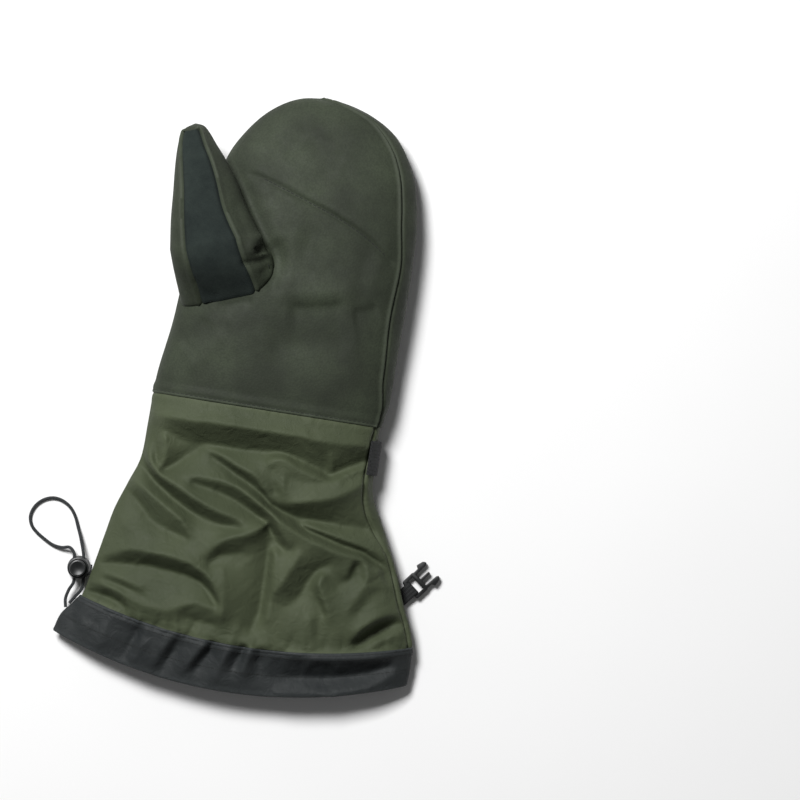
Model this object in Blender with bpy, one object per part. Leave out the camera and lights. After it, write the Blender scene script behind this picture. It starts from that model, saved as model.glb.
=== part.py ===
"""Expedition mitten for the left hand, lying palm up on the back of the hand.

Metres, +Z up, fingertips towards +Y, thumb towards -X. The origin is the middle of the flat
that the back of the hand rests on.

The hand and the long cuff are one skin, worked out from two short tables of sections: a place on
it has an angle round the section (0 at the little-finger edge, 90 degrees on top, 180 at the thumb
edge, 270 underneath), a station along it and a depth into its wall. Each sewn panel is the part of
that skin between its seams. The thumb is a second skin of the same kind, sewn on over a hole.
"""

import math
from collections import namedtuple

import bmesh
import bpy
from mathutils import Matrix, Vector
from mathutils.bvhtree import BVHTree

# Driving sizes of the mitten, in metres
HAND_LENGTH = 0.2427
CUFF_LENGTH = 0.155
HAND_WIDTH = 0.151
CUFF_WIDTH = 0.2375
HAND_HEIGHT = 0.048
CUFF_HEIGHT = 0.038
REST_TO_WRIST = 0.070
HAND_WALL = 0.005
CUFF_WALL = 0.0025
GAP = 0.0003

# Where the panels meet, measured along the middle of the mitten
LEATHER_TO_WRIST = 0.0335
HEM_DEPTH = 0.032
WELT_TO_TIP = 0.0685
WELT_DEPTH = 0.010
WELT_START_ANGLE = 238.0
WELT_END_ANGLE = 302.0
GUSSET_BACK_ANGLE = 322.0

# Thumb
THUMB_LENGTH = 0.113
THUMB_WIDTH = 0.060
THUMB_HEIGHT = 0.034
THUMB_WALL = 0.003
THUMB_LEAN = 18.0
THUMB_ROOT_ACROSS = -0.040
THUMB_ROOT_TO_WRIST = 0.105
THUMB_SEAM_GAP = 0.0008
THUMB_CLEARANCE = 0.0010
THUMB_REST_AROUND = 0.0035

# Wrist strap, its ring and the ring's tab
STRAP_WIDTH = 0.023
STRAP_THICKNESS = 0.0016
STRAP_TO_WRIST = 0.013
STRAP_FREE_LENGTH = 0.059
STRAP_START_ANGLE = 22.0
RING_LENGTH = 0.012
RING_BAR = 0.0024
RING_EDGE_INSET = 0.0040
RING_SIDE_CLEARANCE = 0.001
RING_CORNER = 0.002
TAB_THICKNESS = 0.0012
TAB_SIDE_CLEARANCE = 0.001
CHANNEL_SLOPE = 0.011
RING_SLOPE = 0.016

# Drawcord and cord lock
CORD_DIAMETER = 0.0021
LOCK_TO_HEM = 0.0655
LOCK_TO_EDGE = 0.0091
LOCK_TURN = 8.0
BARREL_DIAMETER = 0.0155
BARREL_HEIGHT = 0.0140
BARREL_FLOOR = 0.0016
BARREL_WAIST = 0.0007
LOCK_ROUND_OFF = 0.0008
BUTTON_DIAMETER = 0.0110
BUTTON_STANDS_OUT = 0.0042
BUTTON_TRAVEL = 0.0035
BUTTON_CLEARANCE = 0.0003
CORD_SPACING = 0.0062
CORD_HOLE_CLEARANCE = 0.0003
CORD_ABOVE_BUTTON_END = 0.0010
LOCK_TAB_THICKNESS = 0.0014
LOCK_TAB_WIDTH = 0.0070
LOCK_TAB_HEIGHT = 0.0105

# Plug of the side-release clip and its webbing
PLUG_TO_HEM = 0.0845
PLUG_TO_EDGE = 0.0061
PLUG_TURN = -38.0
PLUG_WIDTH = 0.0150
PLUG_THICKNESS = 0.0036
PLUG_BODY_LENGTH = 0.0100
PLUG_BAR = 0.0024
PLUG_CORNER = 0.0012
PRONG_LENGTH = 0.0110
PRONG_WIDTH = 0.0022
PRONG_BARB = 0.0016
PRONG_INSET = 0.0006
PRONG_ROUND_OFF = 0.0015
GUIDE_WIDTH = 0.0018
GUIDE_TO_PRONG_TIP = 0.0030
CLIP_WEBBING_WIDTH = 0.0095
CLIP_WEBBING_THICKNESS = 0.0010

# How finely the skins are divided
FRONT_COLUMNS = 20
BACK_COLUMNS = 14
SIDE_COLUMNS = 4
HEM_ROWS = 3
CUFF_ROWS = 13
STRAP_ROWS = 2
HEEL_ROWS = 2
PALM_ROWS = 13
CAP_ROWS = 8
THUMB_PAD_COLUMNS = 5
THUMB_SIDE_COLUMNS = 15
THUMB_ELBOW_ROWS = 4
THUMB_ROWS = 9
ROUND_SIDES = 24

WRIST_Y = -REST_TO_WRIST
TIP_Y = WRIST_Y + HAND_LENGTH
HEM_Y = WRIST_Y - CUFF_LENGTH
STRAP_Y = WRIST_Y + STRAP_TO_WRIST
STRAP_CHANNEL = STRAP_WIDTH / 2 + 2 * GAP
STRAP_STACK = 2 * STRAP_THICKNESS + 3 * GAP
TURN_RADIUS = RING_BAR * math.sqrt(0.5) + GAP

# A section: along, from the wrist crease, and bow, how far its ends run ahead of its middle, are
# shares of the length; left and right are its two ends, shares of the width; height and lift, how
# far it hangs clear of the floor, are shares of the height.
Section = namedtuple("Section", "along left right bow height lift")

CUFF_SECTIONS = (
    Section(-1.000, -0.494, 0.507, 0.142, 0.63, 0.00),
    Section(-0.900, -0.477, 0.510, 0.123, 0.71, 0.00),
    Section(-0.794, -0.431, 0.505, 0.103, 0.80, 0.00),
    Section(-0.697, -0.417, 0.491, 0.084, 0.88, 0.00),
    Section(-0.581, -0.404, 0.463, 0.065, 0.94, 0.00),
    Section(-0.452, -0.390, 0.436, 0.045, 0.97, 0.00),
    Section(-0.323, -0.375, 0.404, 0.026, 1.00, 0.00),
    Section(-0.194, -0.349, 0.366, 0.013, 1.00, 0.00),
    Section(-0.065, -0.324, 0.330, 0.000, 1.00, 0.00),
)
HAND_SECTIONS = (
    Section(0.055, -0.503, 0.508, 0.00, 0.80, 0.00),
    Section(0.138, -0.500, 0.506, 0.00, 0.85, 0.00),
    Section(0.206, -0.493, 0.530, 0.00, 0.91, 0.00),
    Section(0.330, -0.464, 0.532, 0.00, 0.97, 0.00),
    Section(0.453, -0.447, 0.536, 0.00, 1.00, 0.00),
    Section(0.577, -0.414, 0.536, 0.00, 1.00, 0.00),
    Section(0.680, -0.381, 0.530, 0.00, 0.96, 0.00),
    Section(0.762, -0.358, 0.510, 0.00, 0.89, 0.00),
    Section(0.824, -0.328, 0.483, 0.00, 0.80, 0.01),
    Section(0.882, -0.275, 0.434, 0.00, 0.69, 0.03),
    Section(0.931, -0.212, 0.371, 0.00, 0.56, 0.07),
    Section(0.968, -0.139, 0.278, 0.00, 0.41, 0.12),
    Section(0.991, -0.063, 0.159, 0.00, 0.24, 0.17),
    Section(1.000, 0.015, 0.045, 0.00, 0.06, 0.21),
)
DOME_SECTION = len(CUFF_SECTIONS) + 7
EDGE_SHARE = 0.36
FLOOR_PRESS = 1.15

# The seam between the palm and the side gusset: its place across the half width of the section,
# at each share of the way from the hem to the fingertips.
SeamPoint = namedtuple("SeamPoint", "along across")
SIDE_SEAM = (
    SeamPoint(0.00, 0.985),
    SeamPoint(0.25, 0.970),
    SeamPoint(0.32, 0.900),
    SeamPoint(0.38, 0.930),
    SeamPoint(0.48, 0.960),
    SeamPoint(0.56, 0.905),
    SeamPoint(0.66, 0.875),
    SeamPoint(0.74, 0.890),
    SeamPoint(0.82, 0.845),
    SeamPoint(0.92, 0.840),
    SeamPoint(0.97, 0.800),
    SeamPoint(1.00, 0.640),
)

# A fold: a ridge, or a valley where its height is below zero, along a chain of places. The places
# are shares of the width and length of the cuff or of the hand; width and height are metres.
Fold = namedtuple("Fold", "width height places")

CUFF_FOLDS = (
    # Swell and soft valley below the leather's edge
    Fold(0.012, 0.0030, ((-0.28, 0.16), (0.00, 0.16), (0.25, 0.16))),
    Fold(0.009, -0.0052, ((-0.27, 0.055), (-0.08, 0.050), (0.10, 0.060), (0.19, 0.050))),
    # Pucker at the thumb edge
    Fold(0.007, -0.0055, ((-0.26, 0.04), (-0.27, -0.11))),
    Fold(0.008, 0.0040, ((-0.23, -0.09), (-0.155, 0.01))),
    # Long ridge from the middle of the wrist to the hem's far corner
    Fold(
        0.0085,
        0.0075,
        ((-0.15, 0.01), (-0.04, -0.09), (0.067, -0.22), (0.21, -0.29), (0.335, -0.33), (0.40, -0.43)),
    ),
    Fold(0.008, -0.0060, ((-0.13, -0.01), (-0.02, -0.06), (0.055, -0.15), (0.10, -0.19))),
    Fold(0.007, -0.0055, ((-0.18, -0.13), (-0.08, -0.14), (0.02, -0.20), (0.095, -0.31), (0.13, -0.36))),
    # Fan of folds that runs to the little-finger edge
    Fold(0.011, -0.0065, ((0.08, -0.19), (0.16, -0.155), (0.23, -0.145), (0.31, -0.09))),
    Fold(0.012, 0.0050, ((0.10, -0.10), (0.20, -0.06), (0.30, -0.01))),
    Fold(0.007, -0.0040, ((0.16, 0.055), (0.205, -0.02), (0.30, 0.065))),
    # Folds that run in from the thumb edge
    Fold(
        0.009,
        -0.0070,
        ((-0.33, -0.02), (-0.26, -0.145), (-0.18, -0.205), (-0.10, -0.26), (-0.015, -0.29)),
    ),
    Fold(0.009, 0.0050, ((-0.31, -0.14), (-0.25, -0.20), (-0.165, -0.26), (-0.08, -0.31), (0.06, -0.27))),
    Fold(0.009, -0.0045, ((-0.34, -0.20), (-0.29, -0.27), (-0.235, -0.33), (-0.15, -0.375))),
    # Arc above the hem on the thumb side
    Fold(0.007, -0.0045, ((-0.38, -0.52), (-0.31, -0.47), (-0.21, -0.465), (-0.14, -0.48), (-0.04, -0.58))),
    Fold(0.010, 0.0055, ((-0.39, -0.55), (-0.35, -0.515), (-0.25, -0.51), (-0.14, -0.52), (-0.04, -0.63))),
    Fold(0.008, -0.0045, ((-0.40, -0.645), (-0.34, -0.66), (-0.29, -0.70))),
    # Sunken middle and the broad dent right of it
    Fold(0.016, -0.0050, ((-0.01, -0.40), (0.00, -0.54), (0.025, -0.69))),
    Fold(0.006, 0.0030, ((0.065, -0.33), (0.072, -0.52), (0.075, -0.66))),
    Fold(0.014, -0.0055, ((0.21, -0.37), (0.165, -0.50), (0.13, -0.585))),
    Fold(0.007, 0.0040, ((0.21, -0.425), (0.24, -0.54), (0.26, -0.65))),
    Fold(0.008, -0.0045, ((0.33, -0.71), (0.375, -0.63), (0.43, -0.56))),
)
HAND_FOLDS = (
    # Creases across the heel of the palm
    Fold(0.007, -0.0028, ((0.02, 0.42), (0.13, 0.433), (0.27, 0.452))),
    Fold(0.006, -0.0020, ((0.31, 0.436), (0.42, 0.450))),
    Fold(0.010, 0.0018, ((-0.05, 0.47), (0.15, 0.475), (0.35, 0.50))),
    Fold(0.016, -0.0022, ((-0.05, 0.30), (0.15, 0.34), (0.35, 0.36))),
    # Bend of the fingers
    Fold(0.018, -0.0024, ((0.00, 0.60), (0.20, 0.58), (0.40, 0.56))),
)
BACK_FOLDS = (
    # Gathers below the welt and drag lines below the strap, lifted off the floor
    Fold(0.008, 0.0030, ((-0.14, 0.70), (-0.12, 0.56))),
    Fold(0.008, 0.0034, ((0.02, 0.70), (0.03, 0.54))),
    Fold(0.008, 0.0030, ((0.18, 0.70), (0.22, 0.57))),
    Fold(0.010, 0.0036, ((0.05, 0.50), (0.20, 0.40), (0.33, 0.27))),
    Fold(0.011, 0.0045, ((-0.35, -0.02), (-0.15, -0.20), (0.00, -0.38), (0.12, -0.52))),
    Fold(0.011, 0.0042, ((0.30, -0.02), (0.22, -0.22), (0.20, -0.44))),
)

# The thumb's base seam on the palm, one row each 30 degrees round the thumb, anticlockwise from
# its finger side: places across and along the palm, shares of its width and length.
ThumbSeam = namedtuple("ThumbSeam", "across along")
THUMB_SEAM = (
    ThumbSeam(-0.058, 0.523),
    ThumbSeam(-0.068, 0.486),
    ThumbSeam(-0.121, 0.446),
    ThumbSeam(-0.217, 0.420),
    ThumbSeam(-0.318, 0.397),
    ThumbSeam(-0.399, 0.381),
    ThumbSeam(-0.436, 0.386),
    ThumbSeam(-0.434, 0.430),
    ThumbSeam(-0.398, 0.486),
    ThumbSeam(-0.300, 0.540),
    ThumbSeam(-0.187, 0.574),
    ThumbSeam(-0.097, 0.567),
)

# Rings of the thumb: along its axis and centre height are shares of its length and height, left
# and right of the axis shares of its width, height a share of its height.
ThumbRing = namedtuple("ThumbRing", "along left right height centre")
THUMB_RINGS = (
    ThumbRing(0.292, -0.480, 0.523, 1.00, 1.52),
    ThumbRing(0.469, -0.420, 0.420, 0.97, 1.44),
    ThumbRing(0.620, -0.353, 0.355, 0.91, 1.34),
    ThumbRing(0.752, -0.298, 0.277, 0.82, 1.24),
    ThumbRing(0.858, -0.232, 0.180, 0.68, 1.15),
    ThumbRing(0.934, -0.167, 0.113, 0.49, 1.08),
    ThumbRing(0.978, -0.100, 0.058, 0.30, 1.05),
    ThumbRing(1.000, -0.006, 0.006, 0.03, 1.04),
)
THUMB_DOME_RING = 4
THUMB_PAD_RIGHT = (50.0, 68.0, 72.0, 78.0, 82.0)
THUMB_PAD_LEFT = (120.0, 128.0, 136.0, 146.0, 152.0)
THUMB_ELBOW_PULL = 0.38

# The drawcord's route: out of the hem, through the lock, round the loop on the floor, back through
# the lock and into the hem again. A Place is in metres, counted from the lock's middle on the
# floor. An InLock is a place of one of the two strands in the lock: side picks the strand and
# along runs from -1 on the loop's side to 1.
Place = namedtuple("Place", "x y z")
InLock = namedtuple("InLock", "side along")
CORD_ROUTE = (
    Place(-0.0043, -0.0271, 0.0095),
    Place(-0.0053, -0.0215, 0.0088),
    Place(-0.0041, -0.0155, 0.0079),
    InLock(-1, 1.0),
    InLock(-1, 0.33),
    InLock(-1, -0.33),
    InLock(-1, -1.0),
    Place(-0.0081, 0.0123, 0.0056),
    Place(-0.0137, 0.0113, 0.0030),
    Place(-0.0199, 0.0121, 0.0014),
    Place(-0.0261, 0.0152, 0.0012),
    Place(-0.0319, 0.0190, 0.0012),
    Place(-0.0359, 0.0232, 0.0012),
    Place(-0.0374, 0.0292, 0.0012),
    Place(-0.0353, 0.0357, 0.0012),
    Place(-0.0304, 0.0407, 0.0012),
    Place(-0.0239, 0.0430, 0.0012),
    Place(-0.0174, 0.0419, 0.0012),
    Place(-0.0118, 0.0383, 0.0012),
    Place(-0.0077, 0.0327, 0.0013),
    Place(-0.0049, 0.0264, 0.0022),
    Place(-0.0021, 0.0203, 0.0046),
    InLock(1, -1.0),
    InLock(1, -0.33),
    InLock(1, 0.33),
    InLock(1, 1.0),
    Place(0.0040, -0.0140, 0.0080),
    Place(0.0007, -0.0193, 0.0086),
    Place(-0.0023, -0.0241, 0.0094),
)
CORD_POINTS = 76

SkinRow = namedtuple("SkinRow", "y left right bow height lift")


# Helpers: colours, meshes and smooth curves


def linear(hex_colour):
    """An sRGB hex colour as linear red, green, blue and alpha."""
    channels = [int(hex_colour[i : i + 2], 16) / 255 for i in (1, 3, 5)]
    return [c / 12.92 if c <= 0.04045 else ((c + 0.055) / 1.055) ** 2.4 for c in channels] + [1.0]


def material(name, hex_colour, roughness, metallic=0.0):
    made = bpy.data.materials.new(name)
    made.use_nodes = True
    shader = made.node_tree.nodes["Principled BSDF"]
    shader.inputs["Base Color"].default_value = linear(hex_colour)
    shader.inputs["Roughness"].default_value = roughness
    shader.inputs["Metallic"].default_value = metallic
    made.diffuse_color = linear(hex_colour)
    return made


def add_object(name, bm, finish, sharp_angle=40.0):
    """Adds the bmesh as an object with its faces turned outwards, round pieces shaded smooth."""
    bmesh.ops.remove_doubles(bm, verts=bm.verts, dist=1e-6)
    bmesh.ops.dissolve_degenerate(bm, edges=bm.edges, dist=1e-6)
    bmesh.ops.recalc_face_normals(bm, faces=bm.faces)
    mesh = bpy.data.meshes.new(name)
    bm.to_mesh(mesh)
    bm.free()
    mesh.shade_smooth()
    mesh.set_sharp_from_angle(angle=math.radians(sharp_angle))
    mesh.materials.append(finish)
    obj = bpy.data.objects.new(name, mesh)
    bpy.context.scene.collection.objects.link(obj)
    return obj


def as_cutter(obj):
    obj.hide_render = True
    obj.display_type = "WIRE"
    return obj


def cut(obj, cutter):
    boolean = obj.modifiers.new(f"cut_{cutter.name}", "BOOLEAN")
    boolean.operation = "DIFFERENCE"
    boolean.object = cutter


def smoothstep(value):
    value = min(max(value, 0.0), 1.0)
    return value * value * (3 - 2 * value)


def spline(values, place, closed=False):
    """A smooth curve through values, numbers or vectors, read at a place from 0 to the last."""
    count = len(values)
    index = math.floor(place) if closed else min(max(int(place), 0), count - 2)
    share = place - index

    def value(i):
        if closed:
            return values[i % count]
        if i < 0:
            return 2 * values[0] - values[1]
        if i >= count:
            return 2 * values[-1] - values[-2]
        return values[i]

    before, start, end, after = (value(index + i) for i in (-1, 0, 1, 2))
    tangent_in = 0.5 * (end - before)
    tangent_out = 0.5 * (after - start)
    s2, s3 = share * share, share**3
    return (
        (2 * s3 - 3 * s2 + 1) * start
        + (s3 - 2 * s2 + share) * tangent_in
        + (3 * s2 - 2 * s3) * end
        + (s3 - s2) * tangent_out
    )


def between(table, along):
    """The across value of a table of SeamPoint rows at a share along."""
    for first, second in zip(table, table[1:]):
        if along <= second.along:
            share = (along - first.along) / (second.along - first.along)
            return first.across + smoothstep(share) * (second.across - first.across)
    return table[-1].across


# The skin of the hand and cuff


def skin_rows():
    rows = []
    for s in CUFF_SECTIONS:
        y = WRIST_Y + s.along * CUFF_LENGTH
        ends = (s.left * CUFF_WIDTH, s.right * CUFF_WIDTH, s.bow * CUFF_LENGTH)
        rows.append(SkinRow(y, *ends, s.height * CUFF_HEIGHT, s.lift * CUFF_HEIGHT))
    for s in HAND_SECTIONS:
        y = WRIST_Y + s.along * HAND_LENGTH
        ends = (s.left * HAND_WIDTH, s.right * HAND_WIDTH, s.bow * HAND_LENGTH)
        rows.append(SkinRow(y, *ends, s.height * HAND_HEIGHT, s.lift * HAND_HEIGHT))
    return rows


ROWS = skin_rows()


def row_at(station):
    """The section at a station, which counts rows of the two tables together."""
    return SkinRow(*(spline([row[i] for row in ROWS], station) for i in range(len(SkinRow._fields))))


def station_of(y):
    """The station whose section has its middle at y."""
    low, high = 0.0, len(ROWS) - 1.0
    for _ in range(40):
        middle = (low + high) / 2
        if row_at(middle).y < y:
            low = middle
        else:
            high = middle
    return low


def edge_at(y, side):
    """Where the skin's edge crosses y: side is left or right."""
    low, high = 0.0, len(ROWS) - 1.0
    for _ in range(40):
        middle = (low + high) / 2
        row = row_at(middle)
        if row.y + row.bow < y:
            low = middle
        else:
            high = middle
    return Vector((getattr(row_at(low), side), y))


def roundness(y):
    """The exponent of the section's outline: lens-shaped at the hem, fuller in the hand."""
    return 2.0 + 0.4 * smoothstep((y - HEM_Y) / (CUFF_LENGTH + REST_TO_WRIST))


def fold_height(folds, width, length, x, y):
    """The height that a table of folds gives at a place of the skin."""
    total = 0.0
    for fold in folds:
        places = [Vector((across * width, WRIST_Y + along * length)) for across, along in fold.places]
        lengths = [(b - a).length for a, b in zip(places, places[1:])]
        nearest, reached, run = 1e9, 0.0, 0.0
        for a, b, piece in zip(places, places[1:], lengths):
            share = min(max((Vector((x, y)) - a).dot(b - a) / piece**2, 0.0), 1.0)
            distance = (Vector((x, y)) - a.lerp(b, share)).length
            if distance < nearest:
                nearest, reached = distance, run + share * piece
            run += piece
        if nearest > 3 * fold.width:
            continue
        taper = smoothstep(0.25 + 4 * min(reached, run - reached) / run)
        total += fold.height * taper * math.exp(-((nearest / fold.width) ** 2))
    return total


def top_folds(x, y):
    return fold_height(CUFF_FOLDS, CUFF_WIDTH, CUFF_LENGTH, x, y) + fold_height(
        HAND_FOLDS, HAND_WIDTH, HAND_LENGTH, x, y
    )


def back_lift(x, y):
    """How far the back stands off the floor: over the strap and its ring, and at its own folds."""
    cuff = [f for f in BACK_FOLDS if f.places[0][1] < 0]
    hand = [f for f in BACK_FOLDS if f.places[0][1] >= 0]
    folds = fold_height(cuff, CUFF_WIDTH, CUFF_LENGTH, x, y) + fold_height(
        hand, HAND_WIDTH, HAND_LENGTH, x, y
    )
    off_strap = 1 - smoothstep((STRAP_CHANNEL + CHANNEL_SLOPE - abs(y - STRAP_Y)) / CHANNEL_SLOPE)
    near_ring = 1 - smoothstep((abs(x - RING_X) - RING_LENGTH) / RING_SLOPE)
    over_strap = STRAP_STACK + near_ring * 2 * (TURN_RADIUS - GAP)
    return (1 - off_strap) * over_strap + off_strap * folds


def wall_at(y):
    share = smoothstep((y - WRIST_Y + 0.3 * LEATHER_TO_WRIST) / (1.3 * LEATHER_TO_WRIST))
    return CUFF_WALL + (HAND_WALL - CUFF_WALL) * share


def power(value, exponent):
    return math.copysign(abs(value) ** exponent, value)


def skin(angle, station, inside=0.0):
    """A point of the wall. inside runs from 0 on its outer face to 1 on its inner face."""
    row = row_at(station)
    dome = row_at(min(station, float(DOME_SECTION)))
    depth = inside * wall_at(row.y)
    exponent = 2 / roundness(row.y)
    half, middle = (row.right - row.left) / 2, (row.right + row.left) / 2
    edge = EDGE_SHARE * row.height
    rise = row.height - edge
    dome_edge = EDGE_SHARE * dome.height
    narrow = 1 - depth / ((dome.right - dome.left) / 2)
    across = power(math.cos(math.radians(angle)), exponent)
    up = power(math.sin(math.radians(angle)), exponent)
    x = middle + half * narrow * across
    y = row.y + row.bow * across**2
    if station > DOME_SECTION:
        y = dome.y + (y - dome.y) * (1 - depth / (TIP_Y - dome.y))
    if up >= 0:
        z = edge + rise * up * (1 - depth / (dome.height - dome_edge))
        z += top_folds(x, y) * smoothstep(1.6 * up) * smoothstep(4 * row.height / HAND_HEIGHT - 0.6)
    else:
        pressed = max(0.0, 1 + FLOOR_PRESS * up) ** 2
        z = edge - (edge - edge * pressed) * (1 - depth / dome_edge)
        z += back_lift(x, y) * smoothstep(-2.2 * up)
    return Vector((x, y, z + row.lift))


def side_seam_angle(station):
    along = (row_at(station).y - HEM_Y) / (TIP_Y - HEM_Y)
    across = between(SIDE_SEAM, along)
    return math.degrees(math.acos(across ** (roundness(row_at(station).y) / 2)))


RING_X = row_at(station_of(STRAP_Y)).left + RING_EDGE_INSET + RING_LENGTH / 2


# Panels: parts of a grid of skin points, with a narrow gap along their seams


class Grid:
    """Outer and inner points of a skin, closed round the columns, and the panel of each cell."""

    def __init__(self, outer, inner, labels, pole):
        self.outer, self.inner, self.labels, self.pole = outer, inner, labels, pole
        self.rows, self.columns = len(outer), len(outer[0])

    def label(self, row, column):
        if 0 <= row < self.rows - 1:
            return self.labels[row][column % self.columns]
        return None

    def gap_shift(self, points, row, column, name):
        """Half a gap, away from the cells round this point that belong to another panel."""
        own = {(r, c): self.label(row - 1 + r, column - 1 + c) == name for r in (0, 1) for c in (0, 1)}
        along = own[1, 0] + own[1, 1] - own[0, 0] - own[0, 1]
        across = own[0, 1] + own[1, 1] - own[0, 0] - own[1, 0]
        shift = Vector()
        for sign, before, after in (
            (along, points[max(row - 1, 0)][column], points[min(row + 1, self.rows - 1)][column]),
            (across, points[row][column - 1], points[row][(column + 1) % self.columns]),
        ):
            if sign:
                shift += math.copysign(GAP / 2, sign) * (after - before).normalized()
        at_end = row == self.rows - 1 or (row == 0 and along > 0)
        return Vector() if at_end and not across else shift

    def panel(self, name, finish):
        bm = bmesh.new()
        made = {}

        def vertex(points, side, row, column):
            column %= self.columns
            if self.pole and row == self.rows - 1:
                column = 0
            key = (side, row, column)
            if key not in made:
                shift = self.gap_shift(points, row, column, name)
                made[key] = bm.verts.new(points[row][column] + shift)
            return made[key]

        def face(corners):
            unique = list(dict.fromkeys(corners))
            if len(unique) > 2:
                bm.faces.new(unique)

        def halves(corners, split):
            """The two triangles of a four-cornered face, on either side of its split."""
            face([corners[split], corners[split + 1], corners[split + 2]])
            face([corners[split + 2], corners[(split + 3) % 4], corners[split]])

        steps = ((0, 0), (0, 1), (1, 1), (1, 0))
        neighbours = ((-1, 0), (0, 1), (1, 0), (0, -1))
        for row in range(self.rows - 1):
            for column in range(self.columns):
                if self.label(row, column) != name:
                    continue
                outer = [vertex(self.outer, 0, row + r, column + c) for r, c in steps]
                inner = [vertex(self.inner, 1, row + r, column + c) for r, c in steps]
                one, other = ((outer[i + 2].co - outer[i].co).length for i in (0, 1))
                split = 0 if one <= other else 1
                halves(outer, split)
                halves(inner, split)
                for i, (r, c) in enumerate(neighbours):
                    last = self.pole and row + r == self.rows - 1
                    if self.label(row + r, column + c) == name or last:
                        continue
                    j = (i + 1) % 4
                    rim = [outer[j], outer[i], inner[i], inner[j]]
                    place = [(row + r, (column + c) % self.columns) for r, c in (steps[j], steps[i])]
                    halves(rim, 0 if place[0] < place[1] else 1)
        return add_object(name, bm, finish)


def stations_between(limits):
    """Stations of the grid's rows: limits are pairs of a station and the rows that follow it."""
    stations = []
    for (start, rows), (end, _) in zip(limits, limits[1:]):
        stations += [start + (end - start) * i / rows for i in range(rows)]
    return stations + [limits[-1][0]]


def hand_grid():
    """The grid of the hand and cuff, with each cell labelled with its panel."""
    last = len(ROWS) - 1.0
    welt_top = station_of(TIP_Y - WELT_TO_TIP)
    limits = (
        (0.0, HEM_ROWS),
        (station_of(HEM_Y + HEM_DEPTH), CUFF_ROWS),
        (station_of(STRAP_Y - STRAP_CHANNEL), STRAP_ROWS),
        (station_of(STRAP_Y + STRAP_CHANNEL), HEEL_ROWS),
        (station_of(WRIST_Y + LEATHER_TO_WRIST), PALM_ROWS),
        (station_of(TIP_Y - WELT_TO_TIP - WELT_DEPTH), 1),
        (welt_top, CAP_ROWS),
        (last - 0.3, 1),
        (last, 0),
    )
    stations = stations_between(limits)
    hem_end = HEM_ROWS
    cuff_end = hem_end + CUFF_ROWS + STRAP_ROWS + HEEL_ROWS
    welt_row = cuff_end + PALM_ROWS
    tip_row = len(stations) - 2
    columns = FRONT_COLUMNS + BACK_COLUMNS + SIDE_COLUMNS

    def angles(station):
        seam = side_seam_angle(station)
        front = [seam + (180 - seam) * i / FRONT_COLUMNS for i in range(FRONT_COLUMNS)]
        back = [180 + (GUSSET_BACK_ANGLE - 180) * i / BACK_COLUMNS for i in range(BACK_COLUMNS)]
        turn = 360 + seam - GUSSET_BACK_ANGLE
        side = [GUSSET_BACK_ANGLE + turn * i / SIDE_COLUMNS for i in range(SIDE_COLUMNS)]
        return front + back + side

    def label(row, column):
        if row < hem_end:
            return "hem"
        if column < FRONT_COLUMNS:
            return "gauntlet_front" if row < cuff_end else "palm_panel"
        if row >= tip_row:
            return "palm_panel"
        on_side = column >= FRONT_COLUMNS + BACK_COLUMNS
        if on_side:
            return "back_panel" if row < cuff_end else "side_gusset"
        if row < welt_row:
            return "back_panel"
        angle = 180 + (GUSSET_BACK_ANGLE - 180) * (column - FRONT_COLUMNS + 0.5) / BACK_COLUMNS
        if row == welt_row and WELT_START_ANGLE < angle < WELT_END_ANGLE:
            return "back_welt"
        return "fingertip_cap"

    outer = [[skin(a, s) for a in angles(s)] for s in stations]
    inner = [[skin(a, s, 1.0) for a in angles(s)] for s in stations]
    labels = [[label(row, column) for column in range(columns)] for row in range(len(stations) - 1)]
    return Grid(outer, inner, labels, pole=True)


def build_hand(finishes):
    grid = hand_grid()
    return {
        name: grid.panel(name, finishes[kind])
        for name, kind in (
            ("palm_panel", "leather"),
            ("side_gusset", "leather"),
            ("fingertip_cap", "leather"),
            ("back_welt", "leather"),
            ("back_panel", "nylon"),
            ("gauntlet_front", "nylon"),
            ("hem", "hem_nylon"),
        )
    }


# The thumb


def surface_under(obj):
    """A function that gives the height of the object's upper surface at x and y, or None."""
    tree = BVHTree.FromPolygons(
        [v.co for v in obj.data.vertices], [p.vertices[:] for p in obj.data.polygons]
    )

    def height(x, y, around=0.0):
        """The highest surface at x and y and as far as around from there."""
        found = []
        for step_x, step_y in ((0, 0), (1, 0), (-1, 0), (0, 1), (0, -1)):
            above = Vector((x + step_x * around, y + step_y * around, 1.0))
            hit = tree.ray_cast(above, Vector((0, 0, -1)))[0]
            if hit:
                found.append(hit.z)
        return max(found, default=0.0)

    return height


THUMB_AXIS = Vector((-math.sin(math.radians(THUMB_LEAN)), math.cos(math.radians(THUMB_LEAN)), 0.0))
THUMB_ACROSS = Vector((THUMB_AXIS.y, -THUMB_AXIS.x, 0.0))
THUMB_ROOT = Vector((THUMB_ROOT_ACROSS, WRIST_Y + THUMB_ROOT_TO_WRIST, 0.0))


def thumb_base(angle, inset):
    """A point of the thumb's base seam in plan, moved in from the seam by inset."""
    points = [Vector((s.across * HAND_WIDTH, WRIST_Y + s.along * HAND_LENGTH, 0)) for s in THUMB_SEAM]
    middle = sum(points, Vector()) / len(points)
    point = spline(points, angle / 360 * len(points), closed=True)
    outwards = point - middle
    return middle + outwards * (1 - inset / outwards.length)


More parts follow.
